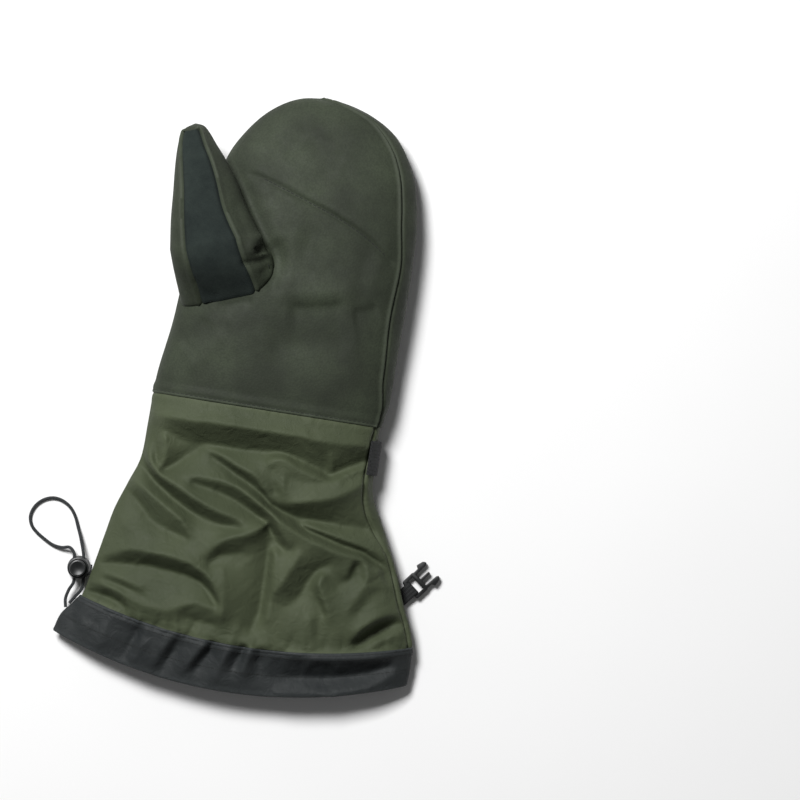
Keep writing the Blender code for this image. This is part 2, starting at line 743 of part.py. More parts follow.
def thumb_ring(angle, place, inset, palm_height):
    """A point of the thumb's straight part, pressed up where it lies on the palm."""
    ring = ThumbRing(
        *(spline([r[i] for r in THUMB_RINGS], place) for i in range(len(ThumbRing._fields)))
    )
    dome = THUMB_RINGS[THUMB_DOME_RING]
    half = (ring.right - ring.left) / 2 * THUMB_WIDTH
    middle = (ring.right + ring.left) / 2 * THUMB_WIDTH
    tall = ring.height * THUMB_HEIGHT / 2
    along = ring.along
    if place > THUMB_DOME_RING:
        dome_half = (dome.right - dome.left) / 2 * THUMB_WIDTH
        dome_tall = dome.height * THUMB_HEIGHT / 2
        dome_length = (1 - dome.along) * THUMB_LENGTH
        half *= 1 - inset / dome_half
        tall *= 1 - inset / dome_tall
        along = dome.along + (along - dome.along) * (1 - inset / dome_length)
    else:
        half -= inset
        tall -= inset
    across = power(math.cos(math.radians(angle)), 0.9)
    up = power(math.sin(math.radians(angle)), 0.9)
    point = THUMB_ROOT + THUMB_AXIS * (along * THUMB_LENGTH) + THUMB_ACROSS * (middle + half * across)
    point.z = ring.centre * THUMB_HEIGHT + tall * up
    floor = palm_height(point.x, point.y, THUMB_REST_AROUND)
    point.z = max(point.z, floor + THUMB_CLEARANCE + inset)
    return point


def thumb_elbow(angle, share, inset, palm_height):
    """A point between the base seam, share 0, and the first ring, share 1."""
    base = thumb_base(angle, inset)
    base.z = palm_height(base.x, base.y) + THUMB_SEAM_GAP
    end = thumb_ring(angle, 0.0, inset, palm_height)
    pull = THUMB_ELBOW_PULL * (end - base).length
    start_pull = base + Vector((0, 0, pull))
    end_pull = end - THUMB_AXIS * pull
    rest = 1 - share
    point = (
        rest**3 * base
        + 3 * rest**2 * share * start_pull
        + 3 * rest * share**2 * end_pull
        + share**3 * end
    )
    if share > 0:
        floor = palm_height(point.x, point.y, THUMB_REST_AROUND * share)
        point.z = max(point.z, floor + THUMB_CLEARANCE + inset)
    return point


def thumb_grid(palm_height):
    last = len(THUMB_RINGS) - 1.0
    places = [i / THUMB_ELBOW_ROWS - 1 for i in range(THUMB_ELBOW_ROWS)]
    places += [(last - 0.2) * i / THUMB_ROWS for i in range(THUMB_ROWS + 1)] + [last]

    def angles(place):
        share = (place + 1) / (last + 1) * (len(THUMB_PAD_RIGHT) - 1)
        right, left = spline(THUMB_PAD_RIGHT, share), spline(THUMB_PAD_LEFT, share)
        pad = [right + (left - right) * i / THUMB_PAD_COLUMNS for i in range(THUMB_PAD_COLUMNS)]
        turn = 360 + right - left
        return pad + [left + turn * i / THUMB_SIDE_COLUMNS for i in range(THUMB_SIDE_COLUMNS)]

    def point(angle, place, inset):
        if place < 0:
            return thumb_elbow(angle, place + 1, inset, palm_height)
        return thumb_ring(angle, place, inset, palm_height)

    outer = [[point(a, p, 0.0) for a in angles(p)] for p in places]
    inner = [[point(a, p, THUMB_WALL) for a in angles(p)] for p in places]
    pad_row_end = len(places) - 3
    labels = [
        [
            "thumb_pad" if column < THUMB_PAD_COLUMNS and row < pad_row_end else "thumb_shell"
            for column in range(THUMB_PAD_COLUMNS + THUMB_SIDE_COLUMNS)
        ]
        for row in range(len(places) - 1)
    ]
    return Grid(outer, inner, labels, pole=True)


def prism(name, outline, low, high):
    """A closed prism between two heights over a plan outline."""
    bm = bmesh.new()
    rings = [[bm.verts.new((p.x, p.y, z)) for p in outline] for z in (low, high)]
    bm.faces.new(rings[0])
    bm.faces.new(rings[1])
    for i in range(len(outline)):
        j = (i + 1) % len(outline)
        bm.faces.new((rings[0][i], rings[0][j], rings[1][j], rings[1][i]))
    return add_object(name, bm, bpy.data.materials["leather"])


def build_thumb(finishes, palm):
    palm_height = surface_under(palm)
    grid = thumb_grid(palm_height)
    shell = grid.panel("thumb_shell", finishes["leather"])
    pad = grid.panel("thumb_pad", finishes["suede"])
    outline = [thumb_base(15.0 * i, THUMB_WALL) for i in range(24)]
    hole = as_cutter(prism("thumb_hole", outline, EDGE_SHARE * HAND_HEIGHT, 2 * HAND_HEIGHT))
    cut(palm, hole)
    return shell, pad


# Straps: bands swept along a path in the plane across the mitten


def band(name, path, thickness, y_low, y_high, finish):
    """A flat strap whose middle line is the path, x and z, between two places along Y."""
    sides = ([], [])
    for i, point in enumerate(path):
        before, after = path[max(i - 1, 0)], path[min(i + 1, len(path) - 1)]
        along = (after - before).normalized()
        normal = Vector((-along.y, along.x)) * thickness / 2
        sides[0].append(point + normal)
        sides[1].append(point - normal)
    outline = sides[0] + sides[1][::-1]
    bm = bmesh.new()
    ends = [[bm.verts.new((p.x, y, p.y)) for p in outline] for y in (y_low, y_high)]
    count, half = len(outline), len(path)
    for i in range(count):
        j = (i + 1) % count
        bm.faces.new((ends[0][i], ends[0][j], ends[1][j], ends[1][i]))
    for end in ends:
        for i in range(half - 1):
            bm.faces.new((end[i], end[i + 1], end[count - 2 - i], end[count - 1 - i]))
    return add_object(name, bm, finish)


def arc(centre, radius, start, end, steps):
    """Points of an arc in the plane across the mitten, angles in degrees."""
    turns = [math.radians(start + (end - start) * i / steps) for i in range(steps + 1)]
    return [centre + radius * Vector((math.cos(t), math.sin(t))) for t in turns]


def underside(x, stations):
    """The lowest place of the skin's underside at x, over the stations."""
    row = row_at(stations[len(stations) // 2])
    across = (x - (row.left + row.right) / 2) / ((row.right - row.left) / 2)
    angle = -math.degrees(math.acos(min(max(power(across, roundness(row.y) / 2), -1.0), 1.0)))
    return min(skin(angle, s).z for s in stations)


def build_strap(finishes):
    y_low, y_high = STRAP_Y - STRAP_WIDTH / 2, STRAP_Y + STRAP_WIDTH / 2
    stations = [station_of(y_low + STRAP_WIDTH * i / 2) for i in range(3)]
    bar_centre = Vector((RING_X + RING_LENGTH / 2 - RING_BAR / 2, STRAP_THICKNESS + TURN_RADIUS))
    clear = GAP + STRAP_THICKNESS / 2

    def outside(angle):
        """The point of the strap's middle line outside the skin at this angle."""
        points = [skin(angle, s) for s in stations]
        after = [skin(angle - 4, s) for s in stations]
        best = None
        for p, q in zip(points, after):
            along = Vector((q.x - p.x, q.z - p.z)).normalized()
            moved = Vector((p.x, p.z)) + Vector((-along.y, along.x)) * (clear + GAP)
            best = moved if best is None or moved.length > best.length else best
        return best

    path = [outside(STRAP_START_ANGLE - a) for a in range(0, 70, 7)]
    turn_x = bar_centre.x
    start_x = path[-1].x
    runs = 24
    for i in range(1, runs):
        x = start_x + (turn_x - start_x) * i / runs
        path.append(Vector((x, underside(x, stations) - clear)))
    radius = TURN_RADIUS + STRAP_THICKNESS / 2
    path += arc(bar_centre, radius, 90, 270, 8)
    free_end = turn_x + STRAP_FREE_LENGTH
    path += [Vector((turn_x + (free_end - turn_x) * i / 4, STRAP_THICKNESS / 2)) for i in range(1, 5)]
    band("wrist_strap", path, STRAP_THICKNESS, y_low, y_high, finishes["webbing"])

    tab_bar = Vector((RING_X - RING_LENGTH / 2 + RING_BAR / 2, bar_centre.y))
    radius = TURN_RADIUS + TAB_THICKNESS / 2
    tab_low, tab_high = y_low + TAB_SIDE_CLEARANCE, y_high - TAB_SIDE_CLEARANCE
    sewn = 2 * GAP + TAB_THICKNESS / 2
    leg_x = tab_bar.x - radius
    outer_leg = Vector((leg_x, underside(leg_x + TAB_THICKNESS, stations) - sewn))
    inner_leg = Vector((tab_bar.x + radius, tab_bar.y + TURN_RADIUS))
    tab_path = [outer_leg, *arc(tab_bar, radius, 180, 360, 8), inner_leg]
    band("ring_tab", tab_path, TAB_THICKNESS, tab_low, tab_high, finishes["webbing"])
    return bar_centre.y


def rounded_outline(length, width, corner, steps=4):
    """A rectangle with round corners, centred, as points in plan."""
    points = []
    for i, (sx, sy) in enumerate(((1, 1), (-1, 1), (-1, -1), (1, -1))):
        centre = Vector((sx * (length / 2 - corner), sy * (width / 2 - corner)))
        points += arc(centre, corner, 90 * i, 90 * i + 90, steps)
    return points


def frame_ring(name, centre, length, width, bar, corner, finish):
    """A flat rectangular ring of square bar, lying level round its centre."""
    outer = rounded_outline(length, width, corner)
    inner = rounded_outline(length - 2 * bar, width - 2 * bar, max(corner - bar, bar / 4))
    bm = bmesh.new()
    loops = [
        [bm.verts.new((centre.x + p.x, centre.y + p.y, centre.z + side * bar / 2)) for p in line]
        for line, side in ((outer, -1), (outer, 1), (inner, 1), (inner, -1))
    ]
    count = len(outer)
    for k in range(4):
        first, second = loops[k], loops[(k + 1) % 4]
        for i in range(count):
            j = (i + 1) % count
            bm.faces.new((first[i], first[j], second[j], second[i]))
    return add_object(name, bm, finish)


# Drawcord, cord lock and its tab

LOCK_PLACE = edge_at(HEM_Y + LOCK_TO_HEM, "left") - Vector((LOCK_TO_EDGE, 0))
LOCK_FRAME = Matrix.Translation(LOCK_PLACE.to_3d()) @ Matrix.Rotation(math.radians(LOCK_TURN), 4, "Z")
SLOT_HALF_HEIGHT = CORD_DIAMETER / 2 + CORD_HOLE_CLEARANCE
SLOT_HALF_WIDTH = CORD_SPACING / 2 + SLOT_HALF_HEIGHT
BUTTON_SEAT = BARREL_FLOOR + BUTTON_TRAVEL + BUTTON_CLEARANCE
CORD_HEIGHT = BUTTON_SEAT + CORD_ABOVE_BUTTON_END + SLOT_HALF_HEIGHT


def turned(name, profile, finish, frame):
    """A solid of revolution about the frame's Z axis, from radius and height pairs."""
    bm = bmesh.new()
    points = [bm.verts.new((radius, 0, height)) for radius, height in profile]
    edges = [bm.edges.new(pair) for pair in zip(points, points[1:])]
    bmesh.ops.spin(
        bm,
        geom=points + edges,
        cent=(0, 0, 0),
        axis=(0, 0, 1),
        angle=2 * math.pi,
        steps=ROUND_SIDES,
        use_merge=True,
    )
    bmesh.ops.remove_doubles(bm, verts=bm.verts, dist=1e-6)
    bmesh.ops.transform(bm, matrix=frame, verts=bm.verts)
    return add_object(name, bm, finish)


def box(name, low, high, frame, finish):
    bm = bmesh.new()
    size = Vector(high) - Vector(low)
    middle = (Vector(high) + Vector(low)) / 2
    place = frame @ Matrix.Translation(middle) @ Matrix.Diagonal((*size, 1))
    bmesh.ops.create_cube(bm, size=1.0, matrix=place)
    return add_object(name, bm, finish)


def build_lock(finishes):
    """The cord lock: an open barrel, the sprung button in it and the cord's way through both."""
    bore = BUTTON_DIAMETER / 2 + BUTTON_CLEARANCE
    outer = BARREL_DIAMETER / 2
    waist = outer - BARREL_WAIST
    round_off = LOCK_ROUND_OFF
    barrel = turned(
        "cord_lock_barrel",
        (
            (0.0, 0.0),
            (outer - round_off, 0.0),
            (outer, round_off),
            (outer, 0.30 * BARREL_HEIGHT),
            (waist, 0.42 * BARREL_HEIGHT),
            (waist, BARREL_HEIGHT - round_off),
            (waist - round_off, BARREL_HEIGHT),
            (bore, BARREL_HEIGHT),
            (bore, BARREL_FLOOR),
            (0.0, BARREL_FLOOR),
        ),
        finishes["acetal"],
        LOCK_FRAME,
    )
    height = BARREL_HEIGHT + BUTTON_STANDS_OUT - BUTTON_SEAT
    radius = BUTTON_DIAMETER / 2
    button_frame = LOCK_FRAME @ Matrix.Translation(Vector((0, 0, BUTTON_SEAT)))
    button = turned(
        "cord_lock_button",
        (
            (0.0, 0.0),
            (radius, 0.0),
            (radius, height - round_off),
            (radius - round_off, height),
            (0.0, height),
        ),
        finishes["acetal"],
        Matrix(),
    )
    button.matrix_world = button_frame
    low = Vector((-SLOT_HALF_WIDTH, -BARREL_DIAMETER, CORD_HEIGHT - SLOT_HALF_HEIGHT))
    high = Vector((SLOT_HALF_WIDTH, BARREL_DIAMETER, CORD_HEIGHT + SLOT_HALF_HEIGHT))
    barrel_slot = box("barrel_slot", low, high, LOCK_FRAME, finishes["acetal"])
    cut(barrel, as_cutter(barrel_slot))
    down = Vector((0, 0, BUTTON_SEAT))
    travel = Vector((0, 0, BUTTON_TRAVEL))
    button_slot = box("button_slot", low - down, high - down + travel, Matrix(), finishes["acetal"])
    button_slot.matrix_world = button_frame
    cut(button, as_cutter(button_slot))


def cord_route_point(row):
    """A row of the route as a point."""
    if isinstance(row, InLock):
        passage = BARREL_DIAMETER / 2 + 0.8 * CORD_DIAMETER
        return LOCK_FRAME @ Vector((row.side * CORD_SPACING / 2, -row.along * passage, CORD_HEIGHT))
    return LOCK_PLACE.to_3d() + Vector(row)


def build_cord(finishes):
    route = [cord_route_point(row) for row in CORD_ROUTE]
    last = len(route) - 1
    curve = bpy.data.curves.new("drawcord", "CURVE")
    curve.dimensions = "3D"
    curve.bevel_depth = CORD_DIAMETER / 2
    curve.bevel_resolution = 2
    curve.use_fill_caps = True
    line = curve.splines.new("POLY")
    line.points.add(CORD_POINTS - 1)
    for i, point in enumerate(line.points):
        point.co = (*spline(route, last * i / (CORD_POINTS - 1)), 1.0)
    curve.materials.append(finishes["cord"])
    obj = bpy.data.objects.new("drawcord", curve)
    bpy.context.scene.collection.objects.link(obj)
    return obj


def reach_to(panels, start, direction):
    """How far a ray runs from start until it meets one of the panels."""
    reach = 1.0
    for panel in panels:
        tree = BVHTree.FromPolygons(
            [v.co for v in panel.data.vertices], [p.vertices[:] for p in panel.data.polygons]
        )
        hit = tree.ray_cast(start, direction)
        if hit[0]:
            reach = min(reach, hit[3])
    return reach


def build_lock_tab(finishes, panels):
    """The short tab that ties the lock's barrel to the edge of the cuff."""
    start = LOCK_PLACE.to_3d() + Vector((BARREL_DIAMETER / 2 + GAP, 0, LOCK_TAB_HEIGHT))
    half = Vector((0, LOCK_TAB_WIDTH / 2, LOCK_TAB_THICKNESS / 2))
    corners = [
        start + Vector((0, i * half.y, j * half.z)) for i in (-1, -0.5, 0, 0.5, 1) for j in (-1, 0, 1)
    ]
    length = min(reach_to(panels, corner, Vector((1, 0, 0))) for corner in corners) - GAP
    end = start + Vector((length, 0, 0))
    box("cord_lock_tab", start - half, end + half, Matrix(), finishes["webbing"])


# Plug of the side-release clip

PLUG_PLACE = edge_at(HEM_Y + PLUG_TO_HEM, "right") + Vector((PLUG_TO_EDGE, 0))
PLUG_FRAME = Matrix.Translation(
    Vector((*PLUG_PLACE, CLIP_WEBBING_THICKNESS + GAP))
) @ Matrix.Rotation(math.radians(PLUG_TURN), 4, "Z")


def half_plug_outline():
    """Right half of the plug in plan, from the web bar's middle to the guide prong's tip."""
    half = PLUG_WIDTH / 2
    shoulder = PLUG_BODY_LENGTH
    tip = shoulder + PRONG_LENGTH
    guide = GUIDE_WIDTH / 2
    return [
        Vector((half - PLUG_CORNER, 0.0)),
        Vector((half, PLUG_CORNER)),
        Vector((half, shoulder - PLUG_CORNER)),
        Vector((half - PRONG_INSET, shoulder)),
        Vector((half - PRONG_INSET, shoulder + 0.35 * PRONG_LENGTH)),
        Vector((half + PRONG_BARB, shoulder + 0.45 * PRONG_LENGTH)),
        Vector((half + 0.4 * PRONG_BARB, tip - PRONG_ROUND_OFF)),
        Vector((half - 0.7 * PRONG_WIDTH, tip)),
        Vector((half - 1.1 * PRONG_WIDTH, tip - PRONG_ROUND_OFF)),
        Vector((half - PRONG_INSET - PRONG_WIDTH, shoulder + PRONG_INSET)),
        Vector((guide, shoulder + PRONG_INSET)),
        Vector((guide * 0.8, tip - GUIDE_TO_PRONG_TIP)),
    ]


def build_plug(finishes, panels):
    right = half_plug_outline()
    left = [Vector((-p.x, p.y)) for p in reversed(right)]
    outline = right + left
    plug = prism("clip_plug", [Vector((p.x, p.y, 0)) for p in outline], 0.0, PLUG_THICKNESS)
    plug.data.materials[0] = finishes["acetal"]
    plug.matrix_world = PLUG_FRAME
    inner = PLUG_WIDTH / 2 - PLUG_BAR
    window = box(
        "plug_window",
        (-inner, PLUG_BAR, -PLUG_THICKNESS),
        (inner, PLUG_BODY_LENGTH - PLUG_BAR, 2 * PLUG_THICKNESS),
        Matrix(),
        finishes["acetal"],
    )
    window.matrix_world = PLUG_FRAME
    cut(plug, as_cutter(window))

    radius = (PLUG_BAR + CLIP_WEBBING_THICKNESS) / 2 + GAP
    middle = PLUG_THICKNESS / 2
    lift = PLUG_THICKNESS / 2 + GAP + CLIP_WEBBING_THICKNESS / 2
    spread = 2.2 * CLIP_WEBBING_THICKNESS
    backwards = PLUG_FRAME.to_3x3() @ Vector((0, -1, 0))
    starts = [
        PLUG_FRAME @ Vector((i * CLIP_WEBBING_WIDTH / 2, 0, middle + j * spread))
        for i in (-1, -0.5, 0, 0.5, 1)
        for j in (-0.4, 0, 0.5, 1)
    ]
    length = min(reach_to(panels, start, backwards) for start in starts) - GAP
    bar = Vector((PLUG_BAR / 2, middle))
    path = [
        Vector((-length, middle + 0.75 * spread)),
        Vector((-0.55 * length, middle + 0.75 * spread)),
        bar + Vector((-0.4 * radius, lift)),
        bar + Vector((0.75 * radius, lift)),
        bar + Vector((1.05 * radius, 0.75 * lift)),
        bar + Vector((1.05 * radius, -0.75 * lift)),
        bar + Vector((0.75 * radius, -lift)),
        bar + Vector((-0.4 * radius, -lift)),
        Vector((-0.55 * length, middle)),
        Vector((-length, middle)),
    ]
    webbing = band(
        "clip_webbing",
        path,
        CLIP_WEBBING_THICKNESS,
        -CLIP_WEBBING_WIDTH / 2,
        CLIP_WEBBING_WIDTH / 2,
        finishes["webbing"],
    )
    webbing.matrix_world = PLUG_FRAME @ Matrix.Rotation(math.radians(90), 4, "Z")


def make_finishes():
    return {
        "leather": material("leather", "#343930", 0.55),
        "suede": material("suede", "#2c3233", 0.9),
        "nylon": material("nylon", "#46523a", 0.5),
        "hem_nylon": material("hem_nylon", "#2a2d2f", 0.55),
        "webbing": material("webbing", "#1c1e1d", 0.85),
        "cord": material("cord", "#26292b", 0.8),
        "acetal": material("acetal", "#1f2122", 0.4),
    }


def main():
    for obj in list(bpy.data.objects):
        bpy.data.objects.remove(obj, do_unlink=True)
    finishes = make_finishes()
    panels = build_hand(finishes)
    build_thumb(finishes, panels["palm_panel"])
    bar_height = build_strap(finishes)
    ring_width = STRAP_WIDTH + 2 * RING_BAR + 2 * RING_SIDE_CLEARANCE
    centre = Vector((RING_X, STRAP_Y, bar_height))
    frame_ring("strap_ring", centre, RING_LENGTH, ring_width, RING_BAR, RING_CORNER, finishes["acetal"])
    build_lock(finishes)
    build_cord(finishes)
    cuff = (panels["gauntlet_front"], panels["back_panel"], panels["hem"])
    build_lock_tab(finishes, cuff)
    build_plug(finishes, cuff)


main()
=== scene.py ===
"""Looks of the expedition mitten: sewn panels, thumb, wrist strap, cord lock and clip plug.

Metres, +Z up, fingertips towards +Y, thumb towards -X, lying palm up on the back of the hand.
"""

import logging
import math
from dataclasses import dataclass, field
from enum import Enum

import bpy
import numpy as np
from mathutils import Matrix, Vector
from mathutils.bvhtree import BVHTree


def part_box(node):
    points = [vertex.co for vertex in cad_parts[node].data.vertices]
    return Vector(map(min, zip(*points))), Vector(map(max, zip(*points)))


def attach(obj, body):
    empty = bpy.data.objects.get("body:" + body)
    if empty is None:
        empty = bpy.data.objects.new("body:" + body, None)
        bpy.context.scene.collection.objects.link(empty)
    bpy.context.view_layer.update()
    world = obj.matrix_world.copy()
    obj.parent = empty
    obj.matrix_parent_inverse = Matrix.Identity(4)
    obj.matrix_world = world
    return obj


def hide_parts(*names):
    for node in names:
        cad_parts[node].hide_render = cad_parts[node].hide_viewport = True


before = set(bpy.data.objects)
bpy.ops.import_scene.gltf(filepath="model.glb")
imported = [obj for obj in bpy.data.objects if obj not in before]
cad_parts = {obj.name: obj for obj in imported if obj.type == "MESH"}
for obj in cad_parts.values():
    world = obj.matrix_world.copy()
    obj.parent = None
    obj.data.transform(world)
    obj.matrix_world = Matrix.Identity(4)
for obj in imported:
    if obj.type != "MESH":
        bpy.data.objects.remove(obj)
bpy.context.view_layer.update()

logging.basicConfig(level=logging.INFO, format="%(message)s")
log = logging.getLogger("mitten")

MM = 0.001
GAP = 0.0003
SMOOTH_ANGLE = 38.0
BLEND = {"output": 2, "data_type": "RGBA"}  # a mix of two colours, and its colour output

Array = np.ndarray
Object = bpy.types.Object
Material = bpy.types.Material
Socket = bpy.types.NodeSocket


# Small helpers: colours, nodes, curves and meshes


def linear(hex_colour: str) -> tuple[float, float, float, float]:
    """Turns an sRGB hex colour to linear.

    Args:
        hex_colour: the colour, such as #3c4238.

    Returns:
        Linear red, green, blue and alpha.
    """
    channels = [int(hex_colour[i : i + 2], 16) / 255 for i in (1, 3, 5)]
    lit = [c / 12.92 if c <= 0.04045 else ((c + 0.055) / 1.055) ** 2.4 for c in channels]
    return (*lit, 1.0)


def add_node(
    tree: bpy.types.NodeTree, kind: str, inputs: dict | None = None, output: int | str = 0, **settings
) -> Socket:
    """Adds a node with its settings, values and links.

    Args:
        tree: the material's node tree.
        kind: the node's type, without ShaderNode before it.
        inputs: values or output sockets, by the input's name or number.
        output: the wanted output's name or number.
        **settings: the node's own properties.

    Returns:
        The node's wanted output.
    """
    node = tree.nodes.new("ShaderNode" + kind)
    for name, value in settings.items():
        setattr(node, name, value)
    for name, value in (inputs or {}).items():
        if isinstance(value, Socket):
            tree.links.new(value, node.inputs[name])
        else:
            node.inputs[name].default_value = value
    return node.outputs[output]


def new_material(name: str) -> tuple[Material, bpy.types.NodeTree, Socket]:
    """Starts a material.

    Args:
        name: its name.

    Returns:
        The material, its node tree and the place on the object that its patterns follow.
    """
    made = bpy.data.materials.new(name)
    made.use_nodes = True
    return made, made.node_tree, add_node(made.node_tree, "TexCoord", output="Object")


def wire(
    made: Material, colour: Socket, pattern: Socket, gloss: tuple[float, float], bump: Socket, constants: dict
) -> Material:
    """Joins a finish's patterns to its material's shader.

    Args:
        made: the material.
        colour: its colour.
        pattern: what its roughness follows.
        gloss: its least and greatest roughness.
        bump: its bump.
        constants: values of the shader's other inputs, by name.

    Returns:
        The material.
    """
    tree = made.node_tree
    shader = tree.nodes["Principled BSDF"]
    spread = {"Value": pattern, "From Min": 0.3, "From Max": 0.7, "To Min": gloss[0], "To Max": gloss[1]}
    rough = add_node(tree, "MapRange", spread)
    for name, socket in (("Base Color", colour), ("Roughness", rough), ("Normal", bump)):
        tree.links.new(socket, shader.inputs[name])
    for name, value in constants.items():
        shader.inputs[name].default_value = value
    return made


def smoothstep(value: Array) -> Array:
    """Rises smoothly from 0 to 1 as the value does."""
    value = np.clip(value, 0.0, 1.0)
    return value * value * (3 - 2 * value)


def bell(away: Array, width: float) -> Array:
    """1 at no distance, and less and less past the width."""
    return np.exp(-((away / width) ** 2))


def unit(ways: Array) -> Array:
    """The directions, each of length 1."""
    return ways / np.linalg.norm(ways, axis=-1, keepdims=True)


def power(value: Array, exponent: Array) -> Array:
    """The value's size to an exponent, with its own sign."""
    return np.sign(value) * np.abs(value) ** exponent


def spline(table: Array, place: Array, closed: bool = False) -> Array:
    """Reads a smooth curve through the rows of a table.

    Args:
        table: the rows that the curve passes through.
        place: where to read it, counted in rows.
        closed: whether the last row joins the first.

    Returns:
        One row of values for each place.
    """
    table = np.asarray(table, float)
    place = np.asarray(place, float)
    count = len(table)
    if closed:
        index = np.floor(place).astype(int)
        rows = [table[(index + i) % count] for i in (-1, 0, 1, 2)]
    else:
        index = np.clip(place.astype(int), 0, count - 2)
        longer = np.vstack([2 * table[:1] - table[1:2], table, 2 * table[-1:] - table[-2:-1]])
        rows = [longer[index + i] for i in (0, 1, 2, 3)]
    share = (place - index)[..., None]
    s2, s3 = share**2, share**3
    before, start, end, after = rows
    return (
        (2 * s3 - 3 * s2 + 1) * start
        + (s3 - 2 * s2 + share) * 0.5 * (end - before)
        + (3 * s2 - 2 * s3) * end
        + (s3 - s2) * 0.5 * (after - start)
    )


def smooth_line(points: Array, steps: int = 6) -> Array:
    """A finer polyline on the smooth curve through the points."""
    last = len(points) - 1
    return spline(points, np.linspace(0, last, last * steps + 1))


def lengths_along(points: Array) -> Array:
    """How far along the polyline each of its points is."""
    steps = np.linalg.norm(np.diff(points, axis=0), axis=1)
    return np.concatenate([[0.0], np.cumsum(steps)])


def read_line(points: Array, run: Array, places: Array) -> Array:
    """What the points are at places along their line, each of them as far along as run says."""
    return np.stack([np.interp(places, run, column) for column in points.T], axis=-1)


def evenly(points: Array, step: float) -> Array:
    """The polyline read again at even steps."""
    run = lengths_along(points)
    return read_line(points, run, np.linspace(0, run[-1], max(2, round(run[-1] / step) + 1)))


def make_mesh(
    name: str,
    vertices: Array,
    faces: list,
    finishes: list[Material],
    parts: Array | None = None,
    cloth: Array | None = None,
    edge: Array | None = None,
    sharp: float = SMOOTH_ANGLE,
) -> Object:
    """Makes a mesh object.

    Args:
        name: the piece's name.
        vertices: its points.
        faces: lists of point numbers.
        finishes: its materials.
        parts: which material each face takes.
        cloth: flat places of the face corners on the cloth, in metres.
        edge: nearness to a sewn edge for each point, from 0 to 1.
        sharp: the angle above which an edge isn't smoothed, in degrees.

    Returns:
        The object.
    """
    mesh = bpy.data.meshes.new(name)
    mesh.from_pydata(np.asarray(vertices, float).tolist(), [], [list(f) for f in faces])
    for finish in finishes:
        mesh.materials.append(finish)
    if parts is not None:
        mesh.polygons.foreach_set("material_index", np.asarray(parts, np.int32))
    if cloth is not None:
        layer = mesh.uv_layers.new(name="cloth")
        layer.data.foreach_set("uv", np.asarray(cloth, np.float32).ravel())
    if edge is not None:
        wear = mesh.attributes.new("edge", "FLOAT", "POINT")
        wear.data.foreach_set("value", np.asarray(edge, np.float32))
    mesh.update()
    mesh.shade_smooth()
    mesh.set_sharp_from_angle(angle=math.radians(sharp))
    obj = bpy.data.objects.new(name, mesh)
    bpy.context.scene.collection.objects.link(obj)
    return obj


def swept(rows: int, count: int, run: Array, rims: Array) -> tuple[list, list]:
    """Faces between rings of points that follow one another.

    Args:
        rows: how many rings there are.
        count: how many points each ring has.
        run: how far along each ring is.
        rims: how far round each point is, and the whole way round at the end.

    Returns:
        The faces, and the flat places of their corners.
    """
    faces, flat = [], []
    for row in range(rows - 1):
        for i in range(count):
            j, low, high = (i + 1) % count, row * count, (row + 1) * count
            faces.append([low + i, low + j, high + j, high + i])
            flat += [(run[row], rims[i]), (run[row], rims[i + 1])]
            flat += [(run[row + 1], rims[i + 1]), (run[row + 1], rims[i])]
    return faces, flat


def tree_of(obj: Object) -> BVHTree:
    """A search tree of an object's faces."""
    mesh = obj.data
    return BVHTree.FromPolygons([v.co for v in mesh.vertices], [tuple(p.vertices) for p in mesh.polygons])


def dress(obj: Object, slot: str, *nodes: str, body: str = "root") -> Object:
    """Lets a piece ride on its body and stand for its nodes.

    Args:
        obj: the piece.
        slot: not used.
        *nodes: the nodes that it replaces.
        body: the body that it moves with.

    Returns:
        The piece.
    """
    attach(obj, body)
    if nodes:
        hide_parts(*nodes)
    log.info("%s: %d faces", obj.name, len(obj.data.polygons))
    return obj


# Finishes


